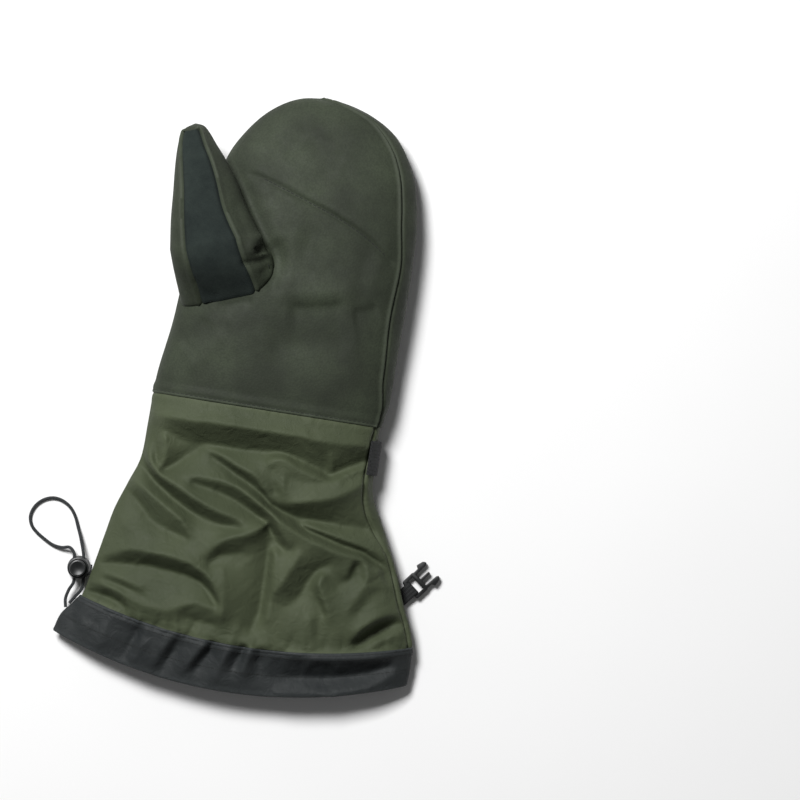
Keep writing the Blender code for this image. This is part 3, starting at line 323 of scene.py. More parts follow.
@dataclass(frozen=True)
class Leather:
    """Goatskin, drum dyed and left unglazed: fine pebbles with painted shade in the hollows between them, a
    dull gloss, paler along worn edges.
    """

    name: str = "goat_leather"
    light: str = "#3b4234"
    dark: str = "#2d3228"
    worn: str = "#4b5244"
    # pit: the colour of the painted shade in the hollows between the pebbles
    pit: str = "#22261f"
    grain: float = 1.3 * MM  # real goat pebbles are 0.5 to 1 mm, drawn coarser to show
    roughness: float = 0.68
    grain_depth: float = 0.10 * MM

    def material(self) -> Material:
        """Builds the leather's material."""
        made, tree, where = new_material(self.name)
        wide = add_node(tree, "TexNoise", {"Vector": where, "Scale": 28.0, "Detail": 4.0})
        warp = {"Vector": where, "Scale": 0.35 / self.grain, "Detail": 2.0}
        shift = {0: add_node(tree, "TexNoise", warp, "Color"), 1: (self.grain * 0.8,) * 3, 2: where}
        moved = add_node(tree, "VectorMath", shift, operation="MULTIPLY_ADD")
        cells = {"Vector": moved, "Scale": 1 / self.grain, "Smoothness": 0.6}
        pebbles = add_node(tree, "TexVoronoi", cells, "Distance", feature="SMOOTH_F1")
        worked = {"Vector": where, "Scale": 140.0, "Detail": 5.0, "Roughness": 0.62}
        creases = add_node(tree, "TexNoise", worked)
        wear = add_node(tree, "Attribute", None, "Fac", attribute_name="edge")
        tone = add_node(tree, "MapRange", {"Value": wide, "From Min": 0.36, "From Max": 0.66})
        dyed = add_node(tree, "Mix", {0: tone, 6: linear(self.dark), 7: linear(self.light)}, **BLEND)
        # Painted shade: the hollows between the pebbles are darkened towards the pit colour.
        between = {"Value": pebbles, "From Min": 0.25, "From Max": 0.75, "To Max": 0.32}
        hollow = add_node(tree, "MapRange", between)
        shaded_pits = add_node(tree, "Mix", {0: hollow, 6: dyed, 7: linear(self.pit)}, **BLEND)
        pale_tint = add_node(tree, "Math", {0: wear, 1: creases}, operation="MULTIPLY")
        colour = add_node(tree, "Mix", {0: pale_tint, 6: shaded_pits, 7: linear(self.worn)}, **BLEND)
        height = add_node(tree, "Math", {0: creases, 1: 1.4, 2: pebbles}, operation="MULTIPLY_ADD")
        raised = {"Height": height, "Distance": self.grain_depth, "Strength": 0.8}
        bump = add_node(tree, "Bump", raised, invert=True)
        gloss = (self.roughness - 0.06, self.roughness + 0.08)
        return wire(made, colour, creases, gloss, bump, {"IOR": 1.46, "Specular IOR Level": 0.25})


@dataclass(frozen=True)
class Suede:
    """Split leather with its nap brushed up: no gloss, a soft rim of light, darker hand marks."""

    name: str = "suede"
    light: str = "#2e3532"
    dark: str = "#1f2524"
    nap: float = 0.7 * MM  # real nap is 0.2 mm, drawn coarser to show

    def material(self) -> Material:
        """Builds the suede's material."""
        made, tree, where = new_material(self.name)
        marks = add_node(tree, "TexNoise", {"Vector": where, "Scale": 55.0, "Detail": 6.0, "Roughness": 0.7})
        brushed = {"Vector": where, "Scale": 1 / self.nap, "Detail": 3.0, "Roughness": 0.75}
        hairs = add_node(tree, "TexNoise", brushed)
        mixed = add_node(tree, "Math", {0: hairs, 1: 0.45, 2: marks}, operation="MULTIPLY_ADD")
        tone = add_node(tree, "MapRange", {"Value": mixed, "From Min": 0.5, "From Max": 0.95})
        colour = add_node(tree, "Mix", {0: tone, 6: linear(self.dark), 7: linear(self.light)}, **BLEND)
        bump = add_node(tree, "Bump", {"Height": hairs, "Distance": 0.25 * MM, "Strength": 0.9})
        sheen = {"Sheen Weight": 0.12, "Sheen Roughness": 0.45, "Sheen Tint": linear("#5c6663")}
        return wire(made, colour, marks, (0.86, 0.97), bump, {**sheen, "Specular IOR Level": 0.1})


@dataclass(frozen=True)
class WovenNylon:
    """Nylon shell cloth, plain woven and calendered: a soft satin sheen that follows the folds, and a painted
    highlight on its raised threads.
    """

    name: str = "shell_nylon"
    light: str = "#464d39"
    dark: str = "#3b4230"
    # a paler colour for rubbed places near the seams, and for the painted highlight on the raised threads
    pale_tint: str = "#535a45"
    thread: float = 1.1 * MM  # real threads are 0.25 mm apart, drawn coarser to show
    roughness: float = 0.62
    weave_depth: float = 0.06 * MM
    crumple_depth: float = 1.1 * MM
    shine: float = 0.16

    def material(self) -> Material:
        """Builds the woven nylon's material."""
        made, tree, where = new_material(self.name)
        flat = add_node(tree, "UVMap", uv_map="cloth")
        turns = add_node(tree, "VectorMath", {0: flat, "Scale": 2 * math.pi / self.thread}, operation="SCALE")
        axes = add_node(tree, "SeparateXYZ", {0: turns}).node.outputs
        warp, weft = [add_node(tree, "Math", {0: axes[i]}, operation="SINE") for i in (0, 1)]
        weave = add_node(tree, "Math", {0: warp, 1: weft}, operation="MULTIPLY")
        broad = add_node(tree, "TexNoise", {"Vector": where, "Scale": 22.0, "Detail": 3.0})
        slubs = add_node(tree, "TexNoise", {"Vector": where, "Scale": 420.0, "Detail": 2.0, "Roughness": 0.6})
        creased = {"Vector": where, "Scale": 120.0, "Detail": 5.0, "Roughness": 0.62, "Distortion": 0.9}
        crumple = add_node(tree, "TexNoise", creased)
        wear = add_node(tree, "Attribute", None, "Fac", attribute_name="edge")
        tone = add_node(tree, "MapRange", {"Value": broad, "From Min": 0.35, "From Max": 0.68})
        dyed = add_node(tree, "Mix", {0: tone, 6: linear(self.dark), 7: linear(self.light)}, **BLEND)
        # Painted highlight: the raised crossings of the weave are lightened towards the paler colour.
        crossed = {"Value": weave, "From Min": -1.0, "From Max": 1.0, "To Max": 0.30}
        threads = add_node(tree, "MapRange", crossed)
        woven = add_node(tree, "Mix", {0: threads, 6: dyed, 7: linear(self.pale_tint)}, **BLEND)
        scuff = add_node(tree, "Math", {0: wear, 1: slubs}, operation="MULTIPLY")
        colour = add_node(tree, "Mix", {0: scuff, 6: woven, 7: linear(self.pale_tint)}, **BLEND)
        soft = add_node(tree, "Bump", {"Height": crumple, "Distance": self.crumple_depth, "Strength": 0.8})
        fine = {"Height": weave, "Distance": self.weave_depth, "Strength": 0.6, "Normal": soft}
        gloss = (self.roughness - 0.05, self.roughness + 0.06)
        constants = {"IOR": 1.53, "Specular IOR Level": self.shine}
        return wire(made, colour, slubs, gloss, add_node(tree, "Bump", fine), constants)


@dataclass(frozen=True)
class Ribbed:
    """Yarn laid in ribs, as in woven webbing, braided cord and twisted thread: dull, with painted shade in
    the hollows between the ribs.
    """

    name: str
    light: str
    dark: str
    rib: float  # spacing of the ribs along the piece
    cross: float  # spacing of the ribs across it
    depth: float = 0.12 * MM
    roughness: float = 0.8
    slant: float = 0.0
    loose: float = 1.6  # how much loose fibre hides the ribs
    fibre: float = 1400.0

    def material(self) -> Material:
        """Builds the ribbed yarn's material."""
        made, tree, where = new_material(self.name)
        flat = add_node(tree, "UVMap", uv_map="cloth")
        across, along = add_node(tree, "SeparateXYZ", {0: flat}).node.outputs[:2]
        waves = []
        ways = ((along, self.slant, across, self.rib), (across, -self.slant, along, self.cross))
        for other, slant, axis, spacing in ways:
            lean = add_node(tree, "Math", {0: other, 1: slant, 2: axis}, operation="MULTIPLY_ADD")
            turn = add_node(tree, "Math", {0: lean, 1: 2 * math.pi / spacing}, operation="MULTIPLY")
            waves.append(add_node(tree, "Math", {0: turn}, operation="SINE"))
        weave = add_node(tree, "Math", {0: waves[0], 1: waves[1]}, operation="ADD")
        fuzz = add_node(tree, "TexNoise", {"Vector": where, "Scale": self.fibre, "Detail": 3.0})
        # The colour follows the ribs' height as well as random fibre: painted shade in the hollows between
        # the ribs, lighter on their tops.
        mixed = add_node(tree, "Math", {0: fuzz, 1: self.loose, 2: weave}, operation="MULTIPLY_ADD")
        middle, spread = self.loose / 2, 1.48 + 0.2 * self.loose
        limits = {"Value": mixed, "From Min": middle - spread, "From Max": middle + spread}
        tone = add_node(tree, "MapRange", limits)
        colour = add_node(tree, "Mix", {0: tone, 6: linear(self.dark), 7: linear(self.light)}, **BLEND)
        bump = add_node(tree, "Bump", {"Height": mixed, "Distance": self.depth, "Strength": 0.7})
        return wire(made, colour, fuzz, (self.roughness - 0.08, self.roughness + 0.08), bump, {})


@dataclass(frozen=True)
class MouldedAcetal:
    """Black acetal, injection moulded with a fine spark finish: a waxy half gloss."""

    name: str = "moulded_acetal"
    light: str = "#1d1f20"
    dark: str = "#101111"
    spark: float = 0.45 * MM  # real spark pits are 0.05 mm, drawn coarser to show

    def material(self) -> Material:
        """Builds the acetal's material."""
        made, tree, where = new_material(self.name)
        pits = add_node(tree, "TexNoise", {"Vector": where, "Scale": 1 / self.spark, "Detail": 2.0})
        flow = add_node(tree, "TexNoise", {"Vector": where, "Scale": 180.0, "Detail": 4.0})
        colour = add_node(tree, "Mix", {0: flow, 6: linear(self.dark), 7: linear(self.light)}, **BLEND)
        bump = add_node(tree, "Bump", {"Height": pits, "Distance": 0.03 * MM, "Strength": 0.5})
        return wire(made, colour, flow, (0.32, 0.48), bump, {"IOR": 1.48})


@dataclass(frozen=True)
class PaleFloor:
    """Matt white paper, coated: even, with the faintest mottle."""

    name: str = "pale_floor"
    light: str = "#f7f7f7"
    dark: str = "#f3f3f3"

    def material(self) -> Material:
        """Builds the floor's material."""
        made, tree, where = new_material(self.name)
        mottle = add_node(tree, "TexNoise", {"Vector": where, "Scale": 6.0, "Detail": 2.0})
        colour = add_node(tree, "Mix", {0: mottle, 6: linear(self.dark), 7: linear(self.light)}, **BLEND)
        shader = tree.nodes["Principled BSDF"]
        tree.links.new(colour, shader.inputs["Base Color"])
        shader.inputs["Roughness"].default_value = 0.9
        return made


class Finish(Enum):
    """The finishes that the mitten's pieces and the floor are dressed in."""

    LEATHER = Leather()
    SUEDE = Suede()
    NYLON = WovenNylon()
    HEM = WovenNylon(
        name="hem_nylon", light="#2b2e2e", dark="#202324", pale_tint="#3c4041", roughness=0.6, shine=0.2
    )
    LINING = WovenNylon(
        name="brushed_tricot", light="#24272a", dark="#1b1d20", pale_tint="#303437", roughness=0.85
    )
    WEBBING = Ribbed("woven_webbing", "#1e2021", "#0c0d0d", 1.1 * MM, 2.2 * MM)
    LOOP_TAPE = Ribbed(
        "loop_tape", "#3a3e3e", "#0d0e0e", 1.7 * MM, 1.9 * MM, 0.25 * MM, 0.95, 0.35, loose=24.0, fibre=620.0
    )
    CORD = Ribbed("braided_cord", "#3a3e40", "#16181a", 0.9 * MM, 1.3 * MM, 0.15 * MM, 0.75, 0.6)
    THREAD = Ribbed("sewing_thread", "#191c1a", "#0c0e0c", 0.4 * MM, 0.4 * MM, 0.05 * MM, 0.7, 0.5)
    ACETAL = MouldedAcetal()
    FLOOR = PaleFloor()


class Wardrobe:
    """Makes each finish's material once, when a piece first asks for it."""

    def __init__(self) -> None:
        """Starts with no material made."""
        self.made: dict[Finish, Material] = {}

    def __call__(self, finish: Finish) -> Material:
        """The material of a finish."""
        if finish not in self.made:
            self.made[finish] = finish.value.material()
        return self.made[finish]


# The skin of the hand and cuff


@dataclass(frozen=True)
class Crease:
    """A ridge, or a valley where its height is below zero, along a chain of places.

    Millimetres, from the middle of the wrist crease: height, then how far it spreads to the left
    and to the right of its own direction, then its places. A crest is sharper as crest nears 1.
    """

    height: float
    left: float
    right: float
    places: tuple[tuple[float, float], ...]
    crest: float = 1.6
    reach: float = 0.22

    def relief(self, x: Array, y: Array) -> Array:
        """The crease's height at places of the skin.

        Args:
            x: places across, in millimetres.
            y: places along, in millimetres.

        Returns:
            Heights in millimetres.
        """
        line = smooth_line(np.array(self.places), 5)
        spread = 2.6 * max(self.left, self.right)
        low, high = line.min(axis=0) - spread, line.max(axis=0) + spread
        near = (x > low[0]) & (x < high[0]) & (y > low[1]) & (y < high[1])
        total = np.zeros_like(x)
        if not near.any():
            return total
        px, py = x[near], y[near]
        run = lengths_along(line)
        best = np.full(px.shape, 1e9)
        side, reached = np.ones_like(best), np.zeros_like(best)
        for (ax, ay), (bx, by), start in zip(line, line[1:], run):
            dx, dy = bx - ax, by - ay
            long = math.hypot(dx, dy)
            share = np.clip(((px - ax) * dx + (py - ay) * dy) / long**2, 0, 1)
            away = np.hypot(px - ax - share * dx, py - ay - share * dy)
            closer = away < best
            best = np.where(closer, away, best)
            side = np.where(closer, dx * (py - ay) - dy * (px - ax), side)
            reached = np.where(closer, start + share * long, reached)
        width = np.where(side > 0, self.left, self.right)
        rounding = 0.7
        away = np.sqrt(best**2 + rounding**2) - rounding
        taper = smoothstep(0.08 + np.minimum(reached, run[-1] - reached) / (self.reach * run[-1]))
        total[near] = self.height * taper * np.exp(-((away / width) ** self.crest))
        return total


PALM_LINE = (
    (-37.2, 185), (-26.4, 183.8), (-11, 178.9), (9, 171.9),
    (24.4, 166.5), (42.9, 158.1), (56.8, 149.6), (69.9, 139.6),
)
CUFF_FOLDS = (
    # Each chain: across, along and height of one place after another, in millimetres
    # Seams, where the cloth is held: the leather's edge and the hem
    (-84, 32, 0, -14, 32.5, 0, 40, 34, 0, 78, 36, 0),
    (-104, -104, 0, -84, -112, 0, -60, -117, 0, -13, -121.6, 0, 50, -118, 0, 90, -112, 0, 116, -105, 0),
    # Swell below the leather, and the valley under it
    (-78, 19, 1.6, -60, 19, 3.0, -20, 20, 3.6, 10, 20.5, 3.6, 42, 19, 3.2, 74, 20, 2.2),
    (-63, 8.5, 0, -50, 5.5, -2.4, -37, 4.5, -3.4, -20, 4.8, -3.2, 0, 5.8, -2.8, 14, 7, -2.4),
    (14, 7, -2.4, 30, 4, -2.2, 40, 0.5, -2.6, 48.5, -3, -3.2, 60, 4, -2.4, 72, 11.5, -1.2),
    (42, 9, -0.4, 45, 2, -2.6),
    (48, 11, 1.4, 49.5, 2, -1.2),
    # Pucker at the thumb edge
    (-63, 7, 1.6, -60.5, -4, 1.0, -62, -15, -0.4),
    (-61, -17, -1.8, -52.5, -10, -3.6, -45, -2.5, -4.0, -38, 3, -3.6),
    (-71, 13, 0.4, -68, 0, -1.0, -66, -12, -1.6),
    # Dark folds that run down to the right from the middle of the wrist
    (-35, 2, -2.4, -25, 0, -0.2, -12.5, -5.6, 1.4, 0, -10, 2.0, 5, -15, 1.4, 10, -21, 0.2, 14, -26, -0.8),
    (-30, -2.5, -2.8, -19, -8, -2.8, -10, -13, -2.6, 0, -18, -2.4, 7.5, -23, -2.6, 13, -28, -3.0,
     18, -30, -3.4),
    (-42, -17, 0.6, -25, -16.5, 1.2, -10, -18.8, 2.0, 2.5, -25.5, 3.0, 15, -32.5, 3.4, 22.5, -37.5, 3.2),
    (22.5, -37.5, 3.2, 31, -42, 2.8, 40, -45.5, 2.4, 50, -48.5, 2.4, 60, -51.5, 2.2, 70, -53, 1.6,
     80, -54, 1.0),
    (17, -34, 3.2, 21.5, -42, 2.8, 28, -50, 1.8, 32, -55, 0.2),
    (-40, -22, -1.0, -25, -24, -2.0, -12.5, -27.5, -2.4, -2.5, -32, -2.6, 8.8, -38, -3.0,
     12.5, -40.5, -3.0),
    (12.5, -40.5, -3.2, 17, -46.5, -3.4, 22, -52.5, -2.8, 28, -57, -1.0),
    # Long fold that runs in from the thumb edge
    (-76, -2, 1.4, -71, -10, 1.6, -65, -17.5, 1.8, -55, -22.5, 2.4, -45, -27, 2.6, -35, -32, 2.6),
    (-35, -32, 2.6, -25, -35.6, 2.2, -12.5, -38.8, 1.6, -2, -41, 0.8),
    (-78, -8, -2.2, -73.8, -16, -3.2, -66, -24, -3.8, -57.5, -30, -3.6, -47.5, -36, -3.4,
     -37.5, -41, -3.2),
    (-37.5, -41, -3.2, -25, -45, -2.6, -12.5, -46.5, -1.8, -5, -46, -0.8),
    # Soft folds under it
    (-83, -24, 1.0, -72.5, -29, 1.6, -62.5, -35, 2.0, -50, -42, 2.0, -42.5, -47, 1.8, -36.5, -55, 0.6),
    (-84, -31, -1.0, -75, -38, -2.6, -67.5, -46, -2.8, -62, -51, -2.2, -55, -53.5, -2.0, -45, -56.5, -1.8,
     -37.5, -59, -0.8),
    (-88, -52, 0.4, -76, -58, 1.2, -60, -61, 0.8),
    # Arc above the hem on the thumb side
    (-92, -80, 0.6, -84, -75, 1.8, -75, -71, 2.8, -60, -70.5, 3.2, -45, -71.5, 3.2, -32.5, -73.5, 3.0),
    (-32.5, -73.5, 3.0, -22.5, -78.5, 2.8, -15, -86, 2.6, -9.5, -96, 2.0),
    (-90, -83, -1.2, -77.5, -81.5, -1.8, -62.5, -80, -2.2, -47.5, -81, -2.4, -35, -82.5, -2.6,
     -25, -85, -2.8),
    (-25, -85, -2.8, -18, -90, -2.4, -12.5, -97, -1.2),
    (-90, -89, 1.0, -76, -91.5, 1.4, -63, -95.5, 1.0),
    (-87, -94, -0.4, -73, -97, -0.6, -61, -99, 0.2),
    (-99, -97, 1.0, -87.5, -97.5, 1.6, -77.5, -99.5, 1.6, -71, -103.5, 1.2, -67.5, -109, 0.4),
    (-98, -103.5, -2.4, -87.5, -104.5, -2.8, -77.5, -106.8, -2.4, -72, -110, -1.2),
    (-62, -106, 1.6, -45, -108, 2.0, -31, -101, 1.8, -24, -98.5, 1.8, -14, -101, 1.6),
    (-30, -110, -0.8, -20, -111, -1.2, -10, -112, -1.0),
    # Shoulder, and the sunken middle that falls to its sharp right edge
    (-23, -69, 1.0, -19.5, -60, 2.0, -14, -55.5, 2.6, -8, -52, 2.8, 0, -49, 2.8, 6, -45.5, 2.6,
     12, -40.5, 1.6),
    (-21, -73, -0.6, -15, -66, -1.2, 0, -62, -1.4),
    (-11, -74, 1.2, -9, -84, 2.2, -8, -96, 2.4, -7.5, -106, 1.8),
    (16, -47, -2.0, 16.5, -60, -3.4, 16.8, -80, -4.2, 16.5, -100, -4.2, 13, -112, -2.6),
    (20.5, -58, 0.2, 21.5, -72, 0.2, 21.5, -88, -0.2, 22, -104, -0.2),
    # Fan of folds that runs to the little-finger edge
    (18.5, -26, -0.6, 28, -24, 1.8, 40, -20.5, 2.8, 52.5, -17, 3.2, 61, -12.5, 3.2, 72, -4, 2.6),
    (18.8, -31, -3.4, 31, -34, -3.8, 45, -34.5, -4.0, 60, -33.5, -3.6, 76, -33.5, -2.8, 90, -35.5, -1.4),
    (22, -9, 0.4, 40, -9, 0.6, 58, -3, 0.4, 70, 3, 0.2),
    (8, -2, 1.2, 11, 3, 1.6, 19, 4, 1.8, 26, -1, 1.6, 40, -5, 1.4, 50, -7, 1.2, 60, -1, 1.2, 72, 6, 0.8),
    (10, -4, 0.2, 12, -12, 0.2, 15, -20, -0.8),
    (19, -10, 1.8, 20, -18, 1.4, 19.5, -24, 0.2),
    (37, -37, -0.8, 50, -40, 0, 65, -43, 0.2, 77, -45.5, 0.2, 90, -49, 0.6, 98, -54, 0.4),
    (30, -36, -2.4, 40, -41, -3.2, 52.5, -44, -3.2, 65, -47.5, -3.2, 77.5, -49.5, -3.0, 87.5, -54.5, -2.6,
     99, -61, -1.6),
    # Broad dent and the small folds right of it
    (37, -57, 1.8, 33, -66, 2.0, 29, -76, 1.8, 24, -84, 1.2),
    (58, -60, -0.8, 50.5, -65.5, -2.4, 45, -75, -3.0, 41, -85, -2.8, 35, -92, -1.6, 27, -93, -0.8),
    (54, -68, 1.2, 52, -74, 1.6, 57, -83, 1.8, 61, -91, 1.4, 63, -97, 0.8),
    (50, -79, -0.8, 54, -87, -1.4, 59, -94, -1.2),
    (50, -97, 0.6, 52, -108, 0.4),
    (56, -98, -0.8, 57.5, -108, -0.6),
    (72, -57, 1.4, 69.5, -66, 0.8),
    (75.5, -58, -1.0, 72, -69, -1.0, 65, -74, -1.2, 58.5, -67, -0.4),
    (82, -57, 1.6, 84, -66, 1.6, 80, -78, 1.4, 74, -90, 1.4),
    (78, -60, -0.6, 79.5, -68, -0.4),
    (90, -58, 1.0, 92, -63, 0.8, 97, -69, 0.6),
    (93, -62, -1.0, 98, -66, -1.2),
    (92, -73, 0.2, 86, -80, 0.2, 80, -91, 0.4),
    (80, -107, 1.4, 84, -100, 2.6, 92.5, -92, 2.8, 102.5, -86.5, 2.2, 111, -86, 1.0),
    (83.5, -111, -2.0, 89.5, -103.5, -3.0, 98, -97, -3.2, 105.5, -93, -2.4, 112, -91.5, -1.2),
    (95, -108, 0.6, 104, -102, 0.8, 112, -98, 0.4),
    # Hem: creases that its drawn cord and its turned edge leave
    (-107, -114, -1.4, -105, -126, -1.6),
    (-100, -113, 0.8, -98, -126, 1.0),
    (-80, -118, 0.8, -82, -128, 1.2, -85, -138, 0.8),
    (-60, -121, -1.2, -63, -130, -1.6, -67, -142, -0.8),
    (-55, -121, 0.8, -57, -131, 1.2, -61, -143, 0.8),
    (-38, -124, 1.0, -42, -132, 1.6, -48, -145, 0.8),
    (-33, -125, -1.2, -36, -134, -1.8, -42, -147, -0.8),
    (-15, -125, 1.6, -19, -131, 2.0, -26, -143, 1.2),
    (-11, -124, -1.8, -14, -132, -2.0, -20, -144, -1.0),
    (2, -124, 0.8, -2, -134, 1.4, -6, -147, 0.8),
    (11, -123, -1.6, 8, -130, -2.0, 5, -138, -1.4),
    (15, -123, 1.2, 13, -131, 1.6, 12, -141, 1.0),
    (21, -123, -1.0, 22, -131, -1.6, 22, -141, -1.0),
    (40, -122, 1.0, 60, -123, 1.8, 90, -119, 1.8, 110, -112, 1.0),
    (30, -140, -1.0, 45, -138, -2.2, 70, -134.5, -2.6, 90, -129.5, -2.4, 107, -121, -1.6),
    (36, -150, 0.8, 70, -145, 1.6, 95, -138, 1.6, 114, -125, 0.8),
)


def neighbours(sheet: Array) -> Array:
    """The sum of each place's four neighbours, with nothing past the sheet's edges."""
    around = np.pad(sheet, 1)
    return around[:-2, 1:-1] + around[2:, 1:-1] + around[1:-1, :-2] + around[1:-1, 2:]


@dataclass
class TautCloth:
    """Cloth pulled taut between its folds: ridge and valley lines, and the smooth sheet between.

    Millimetres, from the middle of the wrist crease. Each line is a chain of places with the
    height that the cloth has there.
    """

    lines: tuple
    low: tuple[float, float] = (-128.0, -160.0)
    high: tuple[float, float] = (128.0, 44.0)
    step: float = 1.0
    rounds: int = 1600
    hold: float = 0.0012
    softening: int = 5
    strength: float = 2.35

    def __post_init__(self) -> None:
        """Works out the sheet: every free place settles to the mean of its neighbours."""
        size = [int((high - low) / self.step) + 1 for low, high in zip(self.low, self.high)]
        sheet, held = np.zeros(size), np.zeros(size, bool)
        for chain in self.lines:
            line = evenly(np.array(chain, float).reshape(-1, 3), 0.4 * self.step)
            spots = np.rint((line[:, :2] - self.low) / self.step).astype(int)
            sheet[spots[:, 0], spots[:, 1]] = line[:, 2]
            held[spots[:, 0], spots[:, 1]] = True
        fixed = sheet.copy()
        for _ in range(self.rounds):
            sheet = np.where(held, fixed, neighbours(sheet) / 4 * (1 - self.hold))
        for _ in range(self.softening):
            sheet = (4 * sheet + neighbours(sheet)) / 8
        self.sheet = self.strength * sheet

    def relief(self, x: Array, y: Array) -> Array:
        """The sheet's height at places of the skin.

        Args:
            x: places across, in millimetres.
            y: places along, in millimetres.

        Returns:
            Heights in millimetres.
        """
        across, along = (x - self.low[0]) / self.step, (y - self.low[1]) / self.step
        last = np.array(self.sheet.shape) - 1.001
        inside = (across >= 0) & (along >= 0) & (across <= last[0]) & (along <= last[1])
        across, along = np.clip(across, 0, last[0]), np.clip(along, 0, last[1])
        column, row = across.astype(int), along.astype(int)
        right, up = across - column, along - row
        near = self.sheet[column, row] * (1 - right) + self.sheet[column + 1, row] * right
        far = self.sheet[column, row + 1] * (1 - right) + self.sheet[column + 1, row + 1] * right
        return np.where(inside, near * (1 - up) + far * up, 0.0)


PALM_CREASES = (
    # Creases across the heel of the palm
    Crease(-1.9, 2.8, 13, ((2.9, 102.0), (12, 103.0), (20, 104.2), (31, 107), (42, 109.6)), 1.4),
    Crease(-1.5, 2.4, 9, ((46, 105.0), (54, 107.5), (63, 112)), 1.4),
    # Hollow that the thumb presses along its edge
    Crease(-3.4, 4, 6, ((-10, 122), (-9, 134), (-17, 145), (-33, 170), (-52, 199)), 1.5, 0.15),
    Crease(1.6, 8, 7, ((-8, 112), (20, 114), (52, 121))),
    Crease(-2.0, 14, 14, ((-8, 73), (22, 82), (52, 88))),
    Crease(-1.0, 5, 6, ((-62, 66), (-52, 78), (-47, 88)), 1.4),
    Crease(0.9, 6, 6, ((-57, 50), (-44, 64), (-33, 80)), 1.5),
    # Pull of the thumb's base seam, and the pit beside it
    Crease(-2.4, 5, 7, ((-12, 146), (-6, 134), (-6.5, 120), (-12, 110)), 1.5),
    Crease(-1.5, 4, 4, ((-18, 104), (-30, 99), (-44, 94)), 1.5),
    # Stitched line across the palm, drawn in by its thread
    Crease(-1.3, 1.3, 1.3, PALM_LINE, 1.3, 0.05),
    Crease(0.7, 7, 3, ((-36, 190), (-10, 184), (10, 177), (44, 163), (68, 146)), 1.6, 0.1),
    # Bend of the fingers
    Crease(-2.0, 17, 17, ((0, 146), (30, 141), (60, 136))),
    Crease(-0.8, 5, 5, ((-2, 214), (10, 206), (26, 200)), 1.5),
)
BACK_CREASES = (
    # Room for the welt's roll between the hand and what it lies on
    Crease(2.0, 9.5, 9.5, ((-62, 169), (0, 169.2), (68, 169)), 4.0, 0.03),
    # Gathers below the welt and drag lines below the strap
    Crease(2.6, 5, 5, ((-30, 172), (-22, 156), (-18, 136)), 1.5),
    Crease(3.0, 5, 5, ((2, 171), (4, 152), (5, 131)), 1.5),
    Crease(2.6, 5, 5, ((27, 171), (31, 156), (33, 138)), 1.5),
    Crease(3.2, 7, 7, ((8, 121), (30, 97), (50, 66)), 1.5),
    Crease(4.0, 8, 8, ((-83, -3), (-36, -31), (0, -59), (28, -81)), 1.5),
    Crease(3.8, 8, 8, ((71, -3), (52, -34), (47, -68)), 1.5),
)


@dataclass(frozen=True)
class ShortCreases:
    """Small creases of a light shell cloth, scattered at random from a fixed seed."""

    seed: int
    count: int
    low: tuple[float, float]
    high: tuple[float, float]
    height: float = 0.30
    long: tuple[float, float] = (5.0, 15.0)
    wide: tuple[float, float] = (1.3, 2.8)
    turn: tuple[float, float] = (-70.0, 70.0)

    def relief(self, x: Array, y: Array) -> Array:
        """The creases' height at places of the skin.

        Args:
            x: places across, in millimetres.
            y: places along, in millimetres.

        Returns:
            Heights in millimetres.
        """
        chance = np.random.default_rng(self.seed)
        total = np.zeros_like(x)
        for _ in range(self.count):
            centre = chance.uniform(self.low, self.high)
            long, wide = chance.uniform(*self.long), chance.uniform(*self.wide)
            turn = math.radians(chance.uniform(*self.turn))
            height = self.height * chance.uniform(-1.0, 1.0)
            bend = chance.uniform(-0.03, 0.03)
            near = (np.abs(x - centre[0]) < 2 * long) & (np.abs(y - centre[1]) < 2 * long)
            if not near.any():
                continue
            dx, dy = x[near] - centre[0], y[near] - centre[1]
            along = math.cos(turn) * dx + math.sin(turn) * dy
            across = math.cos(turn) * dy - math.sin(turn) * dx + bend * along**2
            total[near] += height * np.exp(-((along / long) ** 2) * 2 - np.abs(across / wide) ** 1.5)
        return total


@dataclass(frozen=True)
class Gathers:
    """Short puckers that a seam draws into the cloth beside it."""

    seed: int
    line: tuple[tuple[float, float], ...]
    spacing: float
    height: float
    long: float
    above: float = 1.0

    def relief(self, x: Array, y: Array) -> Array:
        """The puckers' height at places of the skin.

        Args:
            x: places across, in millimetres.
            y: places along, in millimetres.

        Returns:
            Heights in millimetres.
        """
        chance = np.random.default_rng(self.seed)
        line = smooth_line(np.array(self.line), 8)
        run = lengths_along(line)
        total = np.zeros_like(x)
        place = chance.uniform(0, self.spacing)
        while place < run[-1]:
            foot = read_line(line, run, place)
            ahead = read_line(line, run, place + 1) - foot
            ahead /= max(np.linalg.norm(ahead), 1e-6)
            outward = np.array([-ahead[1], ahead[0]]) * self.above
            lean = math.radians(chance.uniform(-25, 25))
            cos, sin = math.cos(lean), math.sin(lean)
            along = (outward[0] * cos - outward[1] * sin, outward[0] * sin + outward[1] * cos)
            long = self.long * chance.uniform(0.5, 1.4)
            wide = chance.uniform(1.6, 3.0)
            height = self.height * chance.uniform(0.3, 1.0) * chance.choice([-1.0, 1.0])
            near = (np.abs(x - foot[0]) < 2 * long) & (np.abs(y - foot[1]) < 2 * long)
            dx, dy = x[near] - foot[0], y[near] - foot[1]
            away = dx * along[0] + dy * along[1]
            across = dy * along[0] - dx * along[1]
            total[near] += height * np.where(away > 0, bell(away, long), bell(away, 2.0)) * bell(across, wide)
            place += self.spacing * chance.uniform(0.5, 1.6)
        return total


